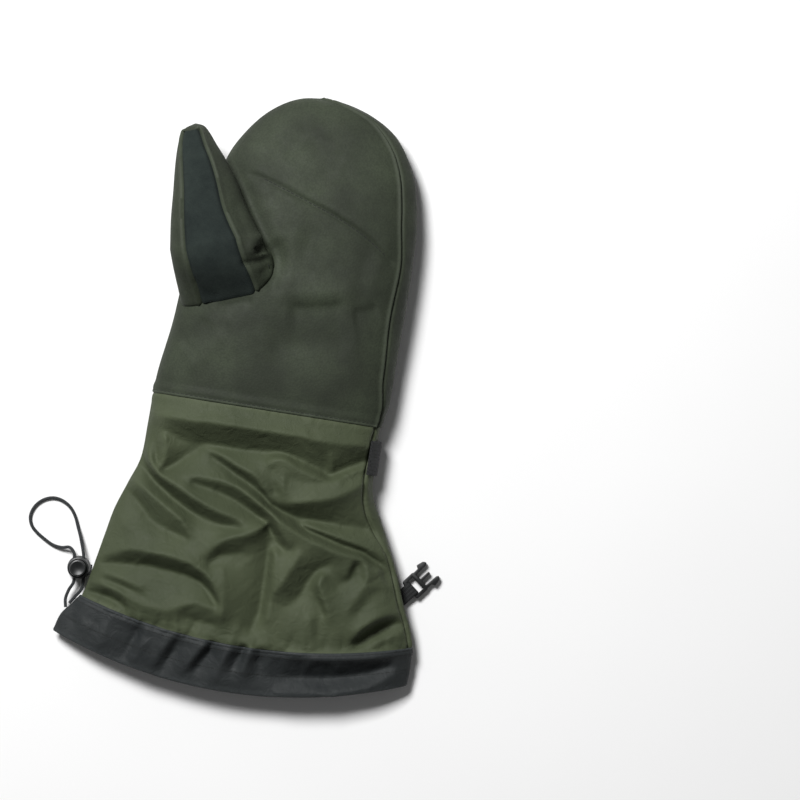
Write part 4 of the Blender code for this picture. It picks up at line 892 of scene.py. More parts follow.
@dataclass
class MittenSkin:
    """The skin of the hand and cuff, worked out from two tables of sections.

    A section's columns: along and bow are shares of the length, left and right shares of the
    width, height and lift shares of the height.
    """

    hand_length: float = 0.2427
    cuff_length: float = 0.155
    hand_width: float = 0.151
    cuff_width: float = 0.2375
    hand_height: float = 0.048
    cuff_height: float = 0.038
    wrist_y: float = -0.070
    hand_wall: float = 0.005
    cuff_wall: float = 0.0025
    least_hollow: float = 0.0015  # what a deep fold leaves open between front and back
    leather_to_wrist: float = 0.0335
    hem_depth: float = 0.032
    welt_to_tip: float = 0.0685
    welt_depth: float = 0.010
    edge_share: float = 0.36
    floor_press: float = 1.15
    gusset_back: float = 322.0
    welt_start: float = 238.0
    welt_end: float = 302.0
    cuff_sections: tuple = (
        (-1.000, -0.494, 0.507, 0.142, 0.63, 0.00),
        (-0.900, -0.477, 0.510, 0.123, 0.71, 0.00),
        (-0.794, -0.431, 0.505, 0.103, 0.80, 0.00),
        (-0.697, -0.417, 0.491, 0.084, 0.88, 0.00),
        (-0.581, -0.404, 0.463, 0.065, 0.94, 0.00),
        (-0.452, -0.390, 0.436, 0.045, 0.97, 0.00),
        (-0.323, -0.375, 0.404, 0.026, 1.00, 0.00),
        (-0.194, -0.349, 0.366, 0.013, 1.00, 0.00),
        (-0.065, -0.324, 0.330, 0.000, 1.00, 0.00),
    )
    hand_sections: tuple = (
        (0.055, -0.503, 0.508, 0.00, 0.80, 0.00),
        (0.138, -0.500, 0.506, 0.00, 0.85, 0.00),
        (0.206, -0.493, 0.530, 0.00, 0.91, 0.00),
        (0.330, -0.464, 0.532, 0.00, 0.97, 0.00),
        (0.453, -0.447, 0.536, 0.00, 1.00, 0.00),
        (0.577, -0.414, 0.536, 0.00, 1.00, 0.00),
        (0.680, -0.381, 0.530, 0.00, 0.96, 0.00),
        (0.762, -0.358, 0.510, 0.00, 0.89, 0.00),
        (0.824, -0.328, 0.483, 0.00, 0.80, 0.01),
        (0.882, -0.275, 0.434, 0.00, 0.69, 0.03),
        (0.931, -0.212, 0.371, 0.00, 0.56, 0.07),
        (0.968, -0.139, 0.278, 0.00, 0.41, 0.12),
        (0.991, -0.063, 0.159, 0.00, 0.24, 0.17),
        (1.000, 0.015, 0.045, 0.00, 0.06, 0.21),
    )
    side_seam: tuple = (
        (0.00, 0.985),
        (0.25, 0.970),
        (0.32, 0.900),
        (0.38, 0.930),
        (0.48, 0.960),
        (0.56, 0.905),
        (0.66, 0.875),
        (0.74, 0.890),
        (0.82, 0.845),
        (0.92, 0.840),
        (0.97, 0.800),
        (1.00, 0.640),
    )
    top_relief: tuple = (
        TautCloth(CUFF_FOLDS),
        *PALM_CREASES,
        ShortCreases(7, 300, (-115, -150), (118, 30), 0.55),
        ShortCreases(11, 70, (-78, 40), (72, 235), 0.16, (8, 22), (2.4, 4.5)),
        Gathers(3, ((-98, -108), (-60, -117), (-13, -121.6), (50, -117), (113, -105)), 8.0, 1.5, 9.0),
        Gathers(5, ((-110, -118), (-60, -128), (-13, -132), (50, -128), (118, -116)), 9.0, 1.0, 8.0, -1.0),
        Gathers(9, ((-74, 30), (-14, 31.6), (62, 36)), 9.0, 0.5, 6.0, -1.0),
    )
    back_relief: tuple = (
        *BACK_CREASES,
        ShortCreases(21, 160, (-110, -150), (115, 170), 0.22),
        Gathers(23, ((-40, 171), (0, 172), (45, 171)), 5.0, 1.2, 12.0, -1.0),
    )

    def __post_init__(self) -> None:
        """Works out the rows of both tables in metres, and where each station lies."""
        parts = (
            (self.cuff_sections, self.cuff_width, self.cuff_length, self.cuff_height),
            (self.hand_sections, self.hand_width, self.hand_length, self.hand_height),
        )
        rows = []
        for sections, width, length, height in parts:
            table = np.array(sections) * (length, width, width, length, height, height)
            rows.append(table + (self.wrist_y, 0, 0, 0, 0, 0))
        self.rows = np.vstack(rows)
        self.last = len(self.rows) - 1.0
        self.dome = len(self.cuff_sections) + 7.0
        self.dense = np.linspace(0, self.last, 4001)
        self.dense_y = spline(self.rows, self.dense)[:, 0]

    @property
    def tip_y(self) -> float:
        """Where the fingertips end."""
        return self.wrist_y + self.hand_length

    @property
    def hem_y(self) -> float:
        """Where the middle of the hem ends."""
        return self.wrist_y - self.cuff_length

    def station_of(self, y: Array) -> Array:
        """The station whose section has its middle at y."""
        return np.interp(y, self.dense_y, self.dense)

    def edge_at(self, y: float, column: int) -> Vector:
        """Where the skin's edge crosses y: column 1 is the left edge and 2 the right one."""
        rows = spline(self.rows, self.dense)
        return Vector((float(np.interp(y, rows[:, 0] + rows[:, 3], rows[:, column])), y))

    def roundness(self, y: Array) -> Array:
        """The exponent of the section's outline: lens-shaped at the hem, fuller in the hand."""
        return 2.0 + 0.4 * smoothstep((y - self.hem_y) / (self.cuff_length - self.wrist_y))

    def seam_angle(self, station: Array) -> Array:
        """The angle of the seam between the palm and the side, in degrees."""
        y = spline(self.rows, station)[..., 0]
        along = np.clip((y - self.hem_y) / (self.tip_y - self.hem_y), 0, 1)
        table = np.array(self.side_seam)
        index = np.clip(np.searchsorted(table[:, 0], along) - 1, 0, len(table) - 2)
        share = (along - table[index, 0]) / (table[index + 1, 0] - table[index, 0])
        across = table[index, 1] + smoothstep(share) * (table[index + 1, 1] - table[index, 1])
        return np.degrees(np.arccos(across ** (self.roundness(y) / 2)))

    def wall_at(self, y: Array) -> Array:
        """The wall's thickness: thin in the cuff, padded in the hand."""
        share = smoothstep((y - self.wrist_y + 0.3 * self.leather_to_wrist) / (1.3 * self.leather_to_wrist))
        return self.cuff_wall + (self.hand_wall - self.cuff_wall) * share

    def place(self, angle: Array, station: Array, inside: float = 0.0) -> tuple[Array, Array, Array]:
        """Points of the wall before its folds.

        Args:
            angle: degrees round the section.
            station: the place along, counted in sections.
            inside: 0 on the outer face, 1 on the inner face.

        Returns:
            The points, and how much the folds of the palm side and of the back side show there.
        """
        angle, station = np.broadcast_arrays(np.asarray(angle, float), np.asarray(station, float))
        row_y, left, right, bow, height, lift = np.moveaxis(spline(self.rows, station), -1, 0)
        dome = spline(self.rows, np.minimum(station, self.dome))
        depth = inside * self.wall_at(row_y)
        exponent = 2 / self.roundness(row_y)
        half, middle = (right - left) / 2, (right + left) / 2
        edge = self.edge_share * height
        dome_edge = self.edge_share * dome[..., 4]
        narrow = 1 - depth / ((dome[..., 2] - dome[..., 1]) / 2)
        across = power(np.cos(np.radians(angle)), exponent)
        up = power(np.sin(np.radians(angle)), exponent)
        x = middle + half * narrow * across
        y = row_y + bow * across**2
        past = dome[..., 0] + (y - dome[..., 0]) * (1 - depth / (self.tip_y - dome[..., 0]))
        y = np.where(station > self.dome, past, y)
        above = edge + (height - edge) * up * (1 - depth / (dome[..., 4] - dome_edge))
        pressed = np.maximum(0.0, 1 + self.floor_press * up) ** 2
        below = edge - (edge - edge * pressed) * (1 - depth / dome_edge)
        z = np.where(up >= 0, above, below) + lift
        top = smoothstep(1.6 * up) * smoothstep(4 * height / self.hand_height - 0.6)
        return np.stack([x, y, z], axis=-1), top, smoothstep(-2.2 * up)

    def relief(self, points: Array, top: Array, back: Array) -> Array:
        """How far the folds raise the skin.

        Args:
            points: places of the skin.
            top: how much the palm side's folds show there.
            back: how much the back's folds show there.

        Returns:
            Heights in metres.
        """
        x, y = points[..., 0] / MM, (points[..., 1] - self.wrist_y) / MM
        total = np.zeros_like(x)
        lifted = STRAP.lift_over(points[..., 0], points[..., 1])
        lowest = lifted + 2 * self.cuff_wall + self.least_hollow - points[..., 2]
        for share, creases in ((top, self.top_relief), (back, self.back_relief)):
            shown = share > 0
            heights = sum(crease.relief(x[shown], y[shown]) for crease in creases)
            if creases is self.back_relief:
                heights = np.maximum(heights, 0.0) * STRAP.off_strap(points[shown][:, 1])
            heights = heights * MM * share[shown]
            if creases is self.top_relief:
                heights = np.maximum(heights, np.minimum(lowest[shown], 0.0))
            total[shown] += heights
        return total + back * lifted

    def point(self, angle: Array, station: Array, inside: float = 0.0) -> Array:
        """Points of the wall with its folds."""
        points, top, back = self.place(angle, station, inside)
        points[..., 2] += self.relief(points, top, back)
        return points


@dataclass(frozen=True)
class StrapSizes:
    """Sizes of the wrist strap, its ring and the ring's tab, and the shallow channel they lie in."""

    width: float = 0.023
    thickness: float = 0.0016
    y: float = -0.057
    free_length: float = 0.059
    start_angle: float = 22.0
    ring_length: float = 0.012
    ring_bar: float = 0.0024
    ring_side_clearance: float = 0.001
    ring_corner: float = 0.002
    ring_x: float = -0.0660
    tab_thickness: float = 0.0012
    tab_side_clearance: float = 0.001
    channel_slope: float = 0.011
    ring_slope: float = 0.016
    tape_from: float = 0.022  # bare webbing between the seam and the loop tape

    @property
    def turn_radius(self) -> float:
        """How far the strap's inner face stays from a bar's middle."""
        return self.ring_bar * math.sqrt(0.5) + GAP

    def off_strap(self, y: Array) -> Array:
        """0 over the strap, 1 well clear of it."""
        channel = self.width / 2 + 2 * GAP
        return 1 - smoothstep((channel + self.channel_slope - np.abs(y - self.y)) / self.channel_slope)

    def lift_over(self, x: Array, y: Array) -> Array:
        """How far the back is held off the floor by the strap and its ring."""
        stack = 2 * self.thickness + 3 * GAP
        near_ring = 1 - smoothstep((np.abs(x - self.ring_x) - self.ring_length) / self.ring_slope)
        over = stack + near_ring * 2 * (self.turn_radius - GAP)
        return (1 - self.off_strap(y)) * over


STRAP = StrapSizes()


# Panels: parts of a fine grid over a skin, each with its own sewn edges


class Edge(Enum):
    """How a panel ends at a seam."""

    # Height, distance from the seam and width of each swell, in millimetres
    LAP_OVER = ((-0.45, 0.0, 0.55), (-0.35, 2.1, 0.6))  # lies over its neighbour, turned under, stitched
    LAP_UNDER = ((-0.25, 0.0, 1.2), (0.3, 3.4, 2.2))  # runs in under its neighbour
    VALLEY = ((-1.5, 0.0, 1.3), (0.35, 3.2, 2.0))  # drawn into the seam
    ROLLED = ((1.25, 1.2, 1.25), (-1.3, 0.0, 0.6))  # rolled over the seam as a round lip
    FOLDED = ((-0.6, 0.0, 0.5), (0.15, 1.6, 1.4))  # folded back on itself at an open edge

    def offset(self, away: Array) -> Array:
        """How far the panel stands proud of the skin.

        Args:
            away: distance from the seam, in metres.

        Returns:
            Heights in metres.
        """
        away = away / MM
        lip = 0.85 * (1 - smoothstep((away - 4.0) / 5.0)) if self is Edge.LAP_OVER else 0.0
        return MM * sum((height * bell(away - middle, width) for height, middle, width in self.value), lip)


SEAM_STEPS = np.array([0.0, 0.35, 0.8, 1.3, 1.9, 2.6, 3.5, 4.6]) * MM


def graded(length: Array, count: int) -> Array:
    """Places along a length that crowd towards both of its ends.

    Args:
        length: one or several lengths.
        count: how many steps it is divided into.

    Returns:
        For each length, count + 1 places.
    """
    length = np.atleast_1d(length)[:, None]
    edge = SEAM_STEPS[None, :] * np.minimum(1.0, length / (3.2 * SEAM_STEPS[-1]))
    inner = count - 2 * (len(SEAM_STEPS) - 1)
    start, end = edge[:, -1:], length - edge[:, -1:]
    middle = start + (end - start) * np.linspace(0, 1, inner + 1)[None, 1:-1]
    return np.hstack([edge, middle, length - edge[:, ::-1]])


@dataclass
class SewnGrid:
    """Outer and inner points of a skin, closed round its columns, from which panels are taken."""

    outer: Array
    inner: Array
    across: Array  # distance round the section for each row and column, one column longer
    along: Array  # distance along the skin for each row
    pole: bool = True
    sharp: float = 80.0

    def __post_init__(self) -> None:
        """Works out the outer points' normals."""
        round_way = np.roll(self.outer, -1, axis=1) - np.roll(self.outer, 1, axis=1)
        long_way = np.gradient(self.outer, axis=0)
        normal = np.cross(round_way, long_way)
        size = np.linalg.norm(normal, axis=-1, keepdims=True)
        normal = normal / np.maximum(size, 1e-12)
        middle = self.outer.mean(axis=1, keepdims=True)
        if ((self.outer - middle) * normal).sum() < 0:
            normal = -normal
        self.normal = normal

    def panel(
        self,
        name: str,
        cells: Array,
        offset: Array,
        near_edge: Array,
        finishes: list[Material],
    ) -> Object:
        """Makes one panel with its outer face, inner face and rim.

        Args:
            name: the panel's name.
            cells: which cells of the grid it covers.
            offset: how far its outer face stands proud at each point.
            near_edge: nearness to its sewn edges at each point, from 0 to 1.
            finishes: the outer face's material, then the inner face's.

        Returns:
            The panel.
        """
        rows, columns = self.outer.shape[:2]
        outer = self.outer + self.normal * offset[..., None]
        outer[..., 2] = np.maximum(outer[..., 2], 0.0)
        numbers = np.arange(rows * columns).reshape(rows, columns)
        if self.pole:
            numbers[-1, :] = numbers[-1, 0]
            outer[-1, 0] = outer[-1].mean(axis=0)
        row, column = np.nonzero(cells)
        after = (column + 1) % columns
        corners = [(row, column), (row, after), (row + 1, after), (row + 1, column)]
        square = np.stack([numbers[r, c] for r, c in corners], axis=1)
        places = [(row, column), (row, column + 1), (row + 1, column + 1), (row + 1, column)]
        flat = np.stack([np.stack([self.across[r, c], self.along[r]], axis=-1) for r, c in places], axis=1)
        inner_shift = rows * columns
        faces, parts, cloth = [], [], []

        def take(squares: Array, places: Array, part: int) -> None:
            """Adds faces, as triangles where two corners are one point."""
            for corner, place in zip(squares.tolist(), places.tolist()):
                kept = [i for i in range(4) if corner[i] != corner[i - 1]]
                if len(kept) > 2:
                    faces.append([corner[i] for i in kept])
                    cloth.extend(place[i] for i in kept)
                    parts.append(part)

        take(square, flat, 0)
        take(square[:, ::-1] + inner_shift, flat[:, ::-1], 1)
        filled = np.zeros((rows + 1, columns), bool)
        filled[1:rows] = cells
        for side, (down, right) in enumerate(((-1, 0), (0, 1), (1, 0), (0, -1))):
            open_side = ~filled[row + 1 + down, (column + right) % columns]
            if self.pole and down == 1:
                open_side &= row + 1 < rows - 1
            first, second = square[open_side, side], square[open_side, (side + 1) % 4]
            rim = np.stack([second, first, first + inner_shift, second + inner_shift], axis=1)
            here, there = flat[open_side, side], flat[open_side, (side + 1) % 4]
            take(rim, np.stack([there, here, here + 0.0025, there + 0.0025], axis=1), 0)
        points = np.vstack([outer.reshape(-1, 3), self.inner.reshape(-1, 3)])
        used, renumbered = np.unique(np.concatenate([np.array(f) for f in faces]), return_inverse=True)
        ends = np.cumsum([len(f) for f in faces])
        faces = [list(part) for part in np.split(renumbered, ends[:-1])]
        wear = np.concatenate([near_edge.ravel(), near_edge.ravel()])[used]
        flat = np.array(cloth)
        return make_mesh(name, points[used], faces, finishes, np.array(parts), flat, wear, self.sharp)


@dataclass
class HandShell:
    """The sewn shell of the hand and cuff: seven panels on one skin."""

    skin: MittenSkin
    wardrobe: Wardrobe
    front_columns: int = 180
    back_columns: int = 96
    side_columns: int = 26
    row_steps: tuple[int, ...] = (28, 144, 98, 18, 60, 5)
    arc_samples: int = 360
    panels: dict = field(default_factory=dict)

    def seam_stations(self) -> Array:
        """The stations at which panels end."""
        skin = self.skin
        places = (
            skin.hem_y + skin.hem_depth,
            skin.wrist_y + skin.leather_to_wrist,
            skin.tip_y - skin.welt_to_tip - skin.welt_depth,
            skin.tip_y - skin.welt_to_tip,
        )
        return np.array([0.0, *(float(skin.station_of(y)) for y in places), skin.last - 0.3, skin.last])

    def lay_grid(self) -> None:
        """Lays a fine grid over the skin that crowds towards the seams."""
        skin = self.skin
        dense = np.linspace(0, skin.last, 3000)
        middle = skin.place(90.0, dense)[0]
        run = lengths_along(middle)
        seams = np.interp(self.seam_stations(), dense, run)
        places = [0.0]
        for start, end, steps in zip(seams, seams[1:], self.row_steps):
            if steps > 2 * len(SEAM_STEPS):
                part = graded(end - start, steps)[0]
            else:
                part = np.linspace(0, end - start, steps + 1)
            places.extend(start + part[1:])
        self.along = np.array(places)
        self.stations = np.interp(self.along, run, dense)
        self.row_ends = np.cumsum((0, *self.row_steps))
        seam = skin.seam_angle(self.stations)
        limits = [seam, np.full_like(seam, 180.0), np.full_like(seam, skin.gusset_back), 360 + seam]
        angles, across, start = [], [], np.zeros(len(seam))
        counts = (self.front_columns, self.back_columns, self.side_columns)
        for first, second, count in zip(limits, limits[1:], counts):
            share = np.linspace(0, 1, self.arc_samples)
            samples = first[:, None] + (second - first)[:, None] * share[None, :]
            points = skin.place(samples, self.stations[:, None])[0]
            steps = np.linalg.norm(np.diff(points, axis=1), axis=-1)
            arcs = np.hstack([np.zeros((len(seam), 1)), np.cumsum(steps, axis=1)])
            wanted = graded(arcs[:, -1], count)
            angles.append(np.stack([np.interp(w, a, s) for w, a, s in zip(wanted, arcs, samples)])[:, :-1])
            across.append(start[:, None] + wanted[:, :-1])
            start = start + arcs[:, -1]
        self.angles = np.hstack(angles)
        self.across = np.hstack([*across, start[:, None]])
        station = self.stations[:, None] + 0 * self.angles
        outer, top, back = skin.place(self.angles, station)
        inner = skin.place(self.angles, station, 1.0)[0]
        within = np.concatenate([inner[..., :2], outer[..., 2:]], axis=-1)
        inner[..., 2] += skin.relief(within, top, back)
        outer[..., 2] += skin.relief(outer, top, back)
        self.grid = SewnGrid(outer, inner, self.across, self.along)

    def distances(self) -> dict[str, Array]:
        """How far each point of the grid is from each seam."""
        front, back = self.front_columns, self.front_columns + self.back_columns
        whole = self.across[:, -1:]
        here = self.across[:, :-1]
        rows = self.row_ends
        shape = here.shape
        level = {
            name: np.abs(self.along - self.along[rows[i]])[:, None] + np.zeros(shape)
            for i, name in enumerate(("mouth", "hem", "leather", "welt_low", "welt_high", "tip"))
        }
        return {
            "side": np.minimum(here, whole - here),
            "thumb_edge": np.abs(here - self.across[:, front : front + 1]),
            "gusset_back": np.abs(here - self.across[:, back : back + 1]),
            **level,
        }

    def cells(self) -> dict[str, Array]:
        """Which cells of the grid each panel covers."""
        rows, columns = self.grid.outer.shape[:2]
        row = np.arange(rows - 1)[:, None] + np.zeros((1, columns), int)
        column = np.arange(columns)[None, :] + np.zeros((rows - 1, 1), int)
        _, hem, leather, welt_low, welt_high, tip, _ = self.row_ends
        front = column < self.front_columns
        side = column >= self.front_columns + self.back_columns
        back = ~front & ~side
        level = self.angles[welt_low]
        welt_first = int(np.argmin(np.abs(level - self.skin.welt_start)))
        welt_last = int(np.argmin(np.abs(level - self.skin.welt_end)))
        welt = back & (row >= welt_low) & (row < welt_high) & (column >= welt_first) & (column < welt_last)
        return {
            "hem": row < hem,
            "gauntlet_front": front & (row >= hem) & (row < leather),
            "palm_panel": (front & (row >= leather)) | (row >= tip),
            "back_panel": (back & (row >= hem) & (row < welt_low)) | (side & (row >= hem) & (row < leather)),
            "side_gusset": side & (row >= leather) & (row < tip),
            "back_welt": welt,
            "fingertip_cap": back & (row >= welt_low) & (row < tip) & ~welt,
        }

    def build(self, hole: Array) -> None:
        """Builds and dresses the panels.

        Args:
            hole: the outline of the hole under the thumb, in plan.
        """
        far = self.distances()
        cells = self.cells()
        centre = (self.grid.outer[:-1] + self.grid.outer[1:]) / 2
        inside = in_outline(centre[..., :2], hole)
        cells["palm_panel"] &= ~(inside & (np.sin(np.radians(self.angles[:-1])) > 0.3))
        over, under, valley, rolled, folded = Edge
        leather, nylon = Finish.LEATHER, Finish.NYLON
        sewn = {
            "hem": (Finish.HEM, {"hem": over, "mouth": folded}),
            "gauntlet_front": (nylon, {"hem": under, "leather": under, "side": valley, "thumb_edge": valley}),
            "palm_panel": (leather, {"leather": over, "side": rolled, "thumb_edge": valley}),
            "back_panel": (nylon, {"hem": under, "side": valley, "thumb_edge": valley, "welt_low": valley}),
            "side_gusset": (leather, {"leather": over, "side": valley, "gusset_back": over}),
            "back_welt": (leather, {"welt_low": rolled, "welt_high": rolled}),
            "fingertip_cap": (leather, {"welt_high": valley, "thumb_edge": valley, "gusset_back": under}),
        }
        slots = {leather: "leather", nylon: "nylon", Finish.HEM: "hem_nylon"}
        for name, (finish, edges) in sewn.items():
            offset = sum(edge.offset(far[seam]) for seam, edge in edges.items())
            nearest = np.min([far[seam] for seam in edges], axis=0)
            finishes = [self.wardrobe(finish), self.wardrobe(Finish.LINING)]
            made = self.grid.panel(name, cells[name], offset, bell(nearest, 2.2 * MM), finishes)
            made.name = f"{name}_cloth"
            dress(made, slots[finish], name)
            self.panels[name] = made


def in_outline(points: Array, outline: Array) -> Array:
    """Whether plan points are inside a closed outline.

    Args:
        points: places in plan.
        outline: the outline's corners in order.

    Returns:
        True for each point that is inside.
    """
    x, y = points[..., 0], points[..., 1]
    inside = np.zeros(x.shape, bool)
    for (ax, ay), (bx, by) in zip(outline, np.roll(outline, -1, axis=0)):
        crosses = (ay > y) != (by > y)
        at = ax + (y - ay) / (by - ay + 1e-15) * (bx - ax)
        inside ^= crosses & (x < at)
    return inside


# The thumb


@dataclass
class Thumb:
    """The thumb, a second skin sewn over a hole in the palm: a suede pad and a leather shell."""

    palm: Object
    wardrobe: Wardrobe
    length: float = 0.113
    width: float = 0.060
    height: float = 0.034
    wall: float = 0.003
    thin_wall: float = 0.0022
    lean: float = 18.0
    root: tuple[float, float] = (-0.040, 0.035)
    seam_gap: float = 0.0008
    clearance: float = 0.0010
    rest_around: float = 0.0035
    elbow_pull: float = 0.38
    dome_ring: float = 4.0
    pad_right: tuple = (58.0, 68.0, 66.0, 66.0, 62.0)
    pad_left: tuple = (129.0, 129.0, 133.0, 146.0, 156.0)
    folds: tuple = (
        # Pit and tucks that the base seam draws in on the thumb's inner side
        Crease(-3.4, 2.3, 2.3, ((-20.5, 139), (-18.7, 136.5), (-17.5, 134)), 1.8, 0.05),
        Crease(1.5, 2.2, 2.2, ((-24, 131), (-25, 138), (-21.5, 144), (-16, 144)), 1.6),
        Crease(-1.8, 2.0, 2.6, ((-31, 124), (-24.9, 126.5), (-17, 129), (-11, 133)), 1.5),
        Crease(-1.0, 2.4, 2.4, ((-17, 119), (-13, 124), (-10, 129)), 1.5),
        Crease(-1.0, 2.5, 3.0, ((-42, 166), (-33, 152), (-26, 142)), 1.5),
        Crease(-0.8, 3.0, 3.0, ((-60, 112), (-52, 104), (-40, 101)), 1.5),
        Crease(0.8, 4.0, 4.0, ((-76, 150), (-71, 128), (-66, 108)), 1.6),
    )
    pad_end: float = 5.5
    row_steps: tuple[int, ...] = (30, 76, 14)
    pad_columns: int = 44
    side_columns: int = 84
    seam: tuple = (
        (-0.058, 0.523),
        (-0.068, 0.486),
        (-0.121, 0.446),
        (-0.217, 0.420),
        (-0.318, 0.397),
        (-0.399, 0.381),
        (-0.436, 0.386),
        (-0.434, 0.430),
        (-0.398, 0.486),
        (-0.300, 0.540),
        (-0.187, 0.574),
        (-0.097, 0.567),
    )
    rings: tuple = (
        (0.292, -0.480, 0.523, 1.00, 1.52),
        (0.469, -0.420, 0.420, 0.97, 1.44),
        (0.620, -0.353, 0.355, 0.91, 1.34),
        (0.752, -0.298, 0.277, 0.82, 1.24),
        (0.858, -0.245, 0.196, 0.68, 1.15),
        (0.934, -0.192, 0.140, 0.49, 1.08),
        (0.978, -0.130, 0.090, 0.30, 1.05),
        (1.000, -0.006, 0.006, 0.03, 1.04),
    )

    @classmethod
    def hole(cls, skin: MittenSkin) -> Array:
        """The hole that the thumb is sewn over.

        Args:
            skin: the skin of the hand.

        Returns:
            Its outline in plan.
        """
        angles = np.arange(0, 360, 7.5)
        return cls.base(skin, cls.seam, angles, np.full_like(angles, cls.wall + 1.5 * MM))

    @staticmethod
    def base(skin: MittenSkin, seam: tuple, angle: Array, inset: Array) -> Array:
        """Points of the base seam in plan.

        Args:
            skin: the skin of the hand.
            seam: the seam's places, as shares of the hand.
            angle: degrees round the thumb.
            inset: how far in from the seam.

        Returns:
            The points, across and along.
        """
        points = np.array(seam) * (skin.hand_width, skin.hand_length) + (0, skin.wrist_y)
        middle = points.mean(axis=0)
        on_seam = spline(points, np.asarray(angle) / 360 * len(points), closed=True)
        outwards = on_seam - middle
        size = np.linalg.norm(outwards, axis=-1, keepdims=True)
        return middle + outwards * (1 - np.asarray(inset)[..., None] / size)

    def palm_height(self, x: Array, y: Array, around: Array) -> Array:
        """The palm's highest surface at places and as far as around from them."""
        flat_x, flat_y = np.ravel(x), np.ravel(y)
        reach = np.ravel(np.broadcast_to(around, np.shape(x)))
        down = Vector((0, 0, -1))
        found = np.zeros(flat_x.size)
        for step_x, step_y in ((0, 0), (1, 0), (-1, 0), (0, 1), (0, -1)):
            if (step_x or step_y) and not reach.any():
                continue
            for i in range(flat_x.size):
                above = Vector((flat_x[i] + step_x * reach[i], flat_y[i] + step_y * reach[i], 1.0))
                hit = self.tree.ray_cast(above, down)[0]
                if hit is not None and hit.z > found[i]:
                    found[i] = hit.z
        return found.reshape(np.shape(x))

    def straight(self, angle: Array, place: Array, inset: float) -> Array:
        """Points of the thumb's straight part before it meets the palm."""
        along, left, right, height, centre = np.moveaxis(spline(self.rings, place), -1, 0)
        dome = self.rings[int(self.dome_ring)]
        half, middle = (right - left) / 2 * self.width, (right + left) / 2 * self.width
        tall = height * self.height / 2
        past = place > self.dome_ring
        dome_half, dome_tall = (dome[2] - dome[1]) / 2 * self.width, dome[3] * self.height / 2
        half = np.where(past, half * (1 - inset / dome_half), half - inset)
        tall = np.where(past, tall * (1 - inset / dome_tall), tall - inset)
        dome_long = (1 - dome[0]) * self.length
        along = np.where(past, dome[0] + (along - dome[0]) * (1 - inset / dome_long), along)
        across = power(np.cos(np.radians(angle)), 0.9)
        up = power(np.sin(np.radians(angle)), 0.9)
        lean = math.radians(self.lean)
        self.axis = np.array([-math.sin(lean), math.cos(lean), 0.0])
        sideways = np.array([math.cos(lean), math.sin(lean), 0.0])
        root = np.array([*self.root, 0.0])
        points = root + self.axis * (along * self.length)[..., None]
        points = points + sideways * (middle + half * across)[..., None]
        points[..., 2] = centre * self.height + tall * up
        return points

    def lifted(self, points: Array, around: Array, inset: float) -> Array:
        """The points, raised where they would sink into the palm."""
        floor = self.palm_height(points[..., 0], points[..., 1], around)
        points[..., 2] = np.maximum(points[..., 2], floor + self.clearance + inset)
        return points

    def surface(self, skin: MittenSkin, angle: Array, place: Array, inset: float) -> Array:
        """Points of the thumb: places below 0 are the bend between the base seam and the first ring.

        Args:
            skin: the skin of the hand.
            angle: degrees round the thumb.
            place: the place along, from -1 at the seam.
            inset: depth into the wall.

        Returns:
            The points.
        """
        points = self.straight(angle, np.maximum(place, 0.0), inset)
        points = self.lifted(points, self.rest_around, inset)
        bend = place[:, 0] < 0
        share = (place[bend] + 1)[..., None]
        start = np.zeros_like(points[bend])
        start[..., :2] = self.base(skin, self.seam, angle[bend], np.full(angle[bend].shape, inset))
        start[..., 2] = self.palm_height(start[..., 0], start[..., 1], np.zeros(1)) + self.seam_gap
        end = points[bend]
        reach = np.linalg.norm(end - start, axis=-1, keepdims=True)
        pull = self.elbow_pull * reach
        forward = np.clip(((end - start) @ self.axis)[..., None] / reach, 0, 1)
        rise = self.axis * 0.8 * forward + np.array([0, 0, 1.0]) * (1 - 0.6 * forward)
        rest = 1 - share
        bent = (
            rest**3 * start
            + 3 * rest**2 * share * (start + rise * pull)
            + 3 * rest * share**2 * (end - self.axis * pull)
            + share**3 * end
        )
        low = place[bend][:, 0] > -1
        bent[low] = self.lifted(bent[low], self.rest_around * share[low][..., 0], inset)
        points[bend] = bent
        return points

    def build(self, skin: MittenSkin) -> None:
        """Builds and dresses the pad and the shell.

        Args:
            skin: the skin of the hand.
        """
        self.tree = tree_of(self.palm)
        last = len(self.rings) - 1.0
        dense = np.linspace(-1, last, 400)
        crown = self.surface(skin, np.full((len(dense), 1), 100.0), dense[:, None], 0.0)[:, 0]
        run = lengths_along(crown)
        ends = np.interp([-1.0, 0.0, self.pad_end, last], dense, run)
        places = [0.0]
        for start, end, steps in zip(ends, ends[1:], self.row_steps):
            places.extend(np.linspace(start, end, steps + 1)[1:])
        along = np.array(places)
        rows = np.interp(along, run, dense)
        share = (rows + 1) / (last + 1) * (len(self.pad_right) - 1)
        right, left = spline(np.array([self.pad_right, self.pad_left]).T, share).T
        swing = np.cos(np.pi * np.linspace(0, 1, self.pad_columns + 1)[:-1])
        pad_steps = 0.5 - 0.5 * swing * (0.35 + 0.65 * np.abs(swing))
        side_steps = np.linspace(0, 1, self.side_columns + 1)[:-1]
        pad = right[:, None] + (left - right)[:, None] * pad_steps
        side = left[:, None] + (360 + right - left)[:, None] * side_steps
        angles = np.hstack([pad, side])
        place = rows[:, None] + 0 * angles
        outer = self.surface(skin, angles, place, 0.0)
        inner = self.surface(skin, angles, place, self.wall)
        under = np.minimum(inner[..., 2], outer[..., 2] - self.thin_wall)
        inner[..., 2] = np.where(np.sin(np.radians(angles)) > 0.1, under, inner[..., 2])
        steps = np.linalg.norm(np.diff(np.concatenate([outer, outer[:, :1]], axis=1), axis=1), axis=-1)
        across = np.hstack([np.zeros((len(rows), 1)), np.cumsum(steps, axis=1)])
        grid = SewnGrid(outer, inner, across, along)
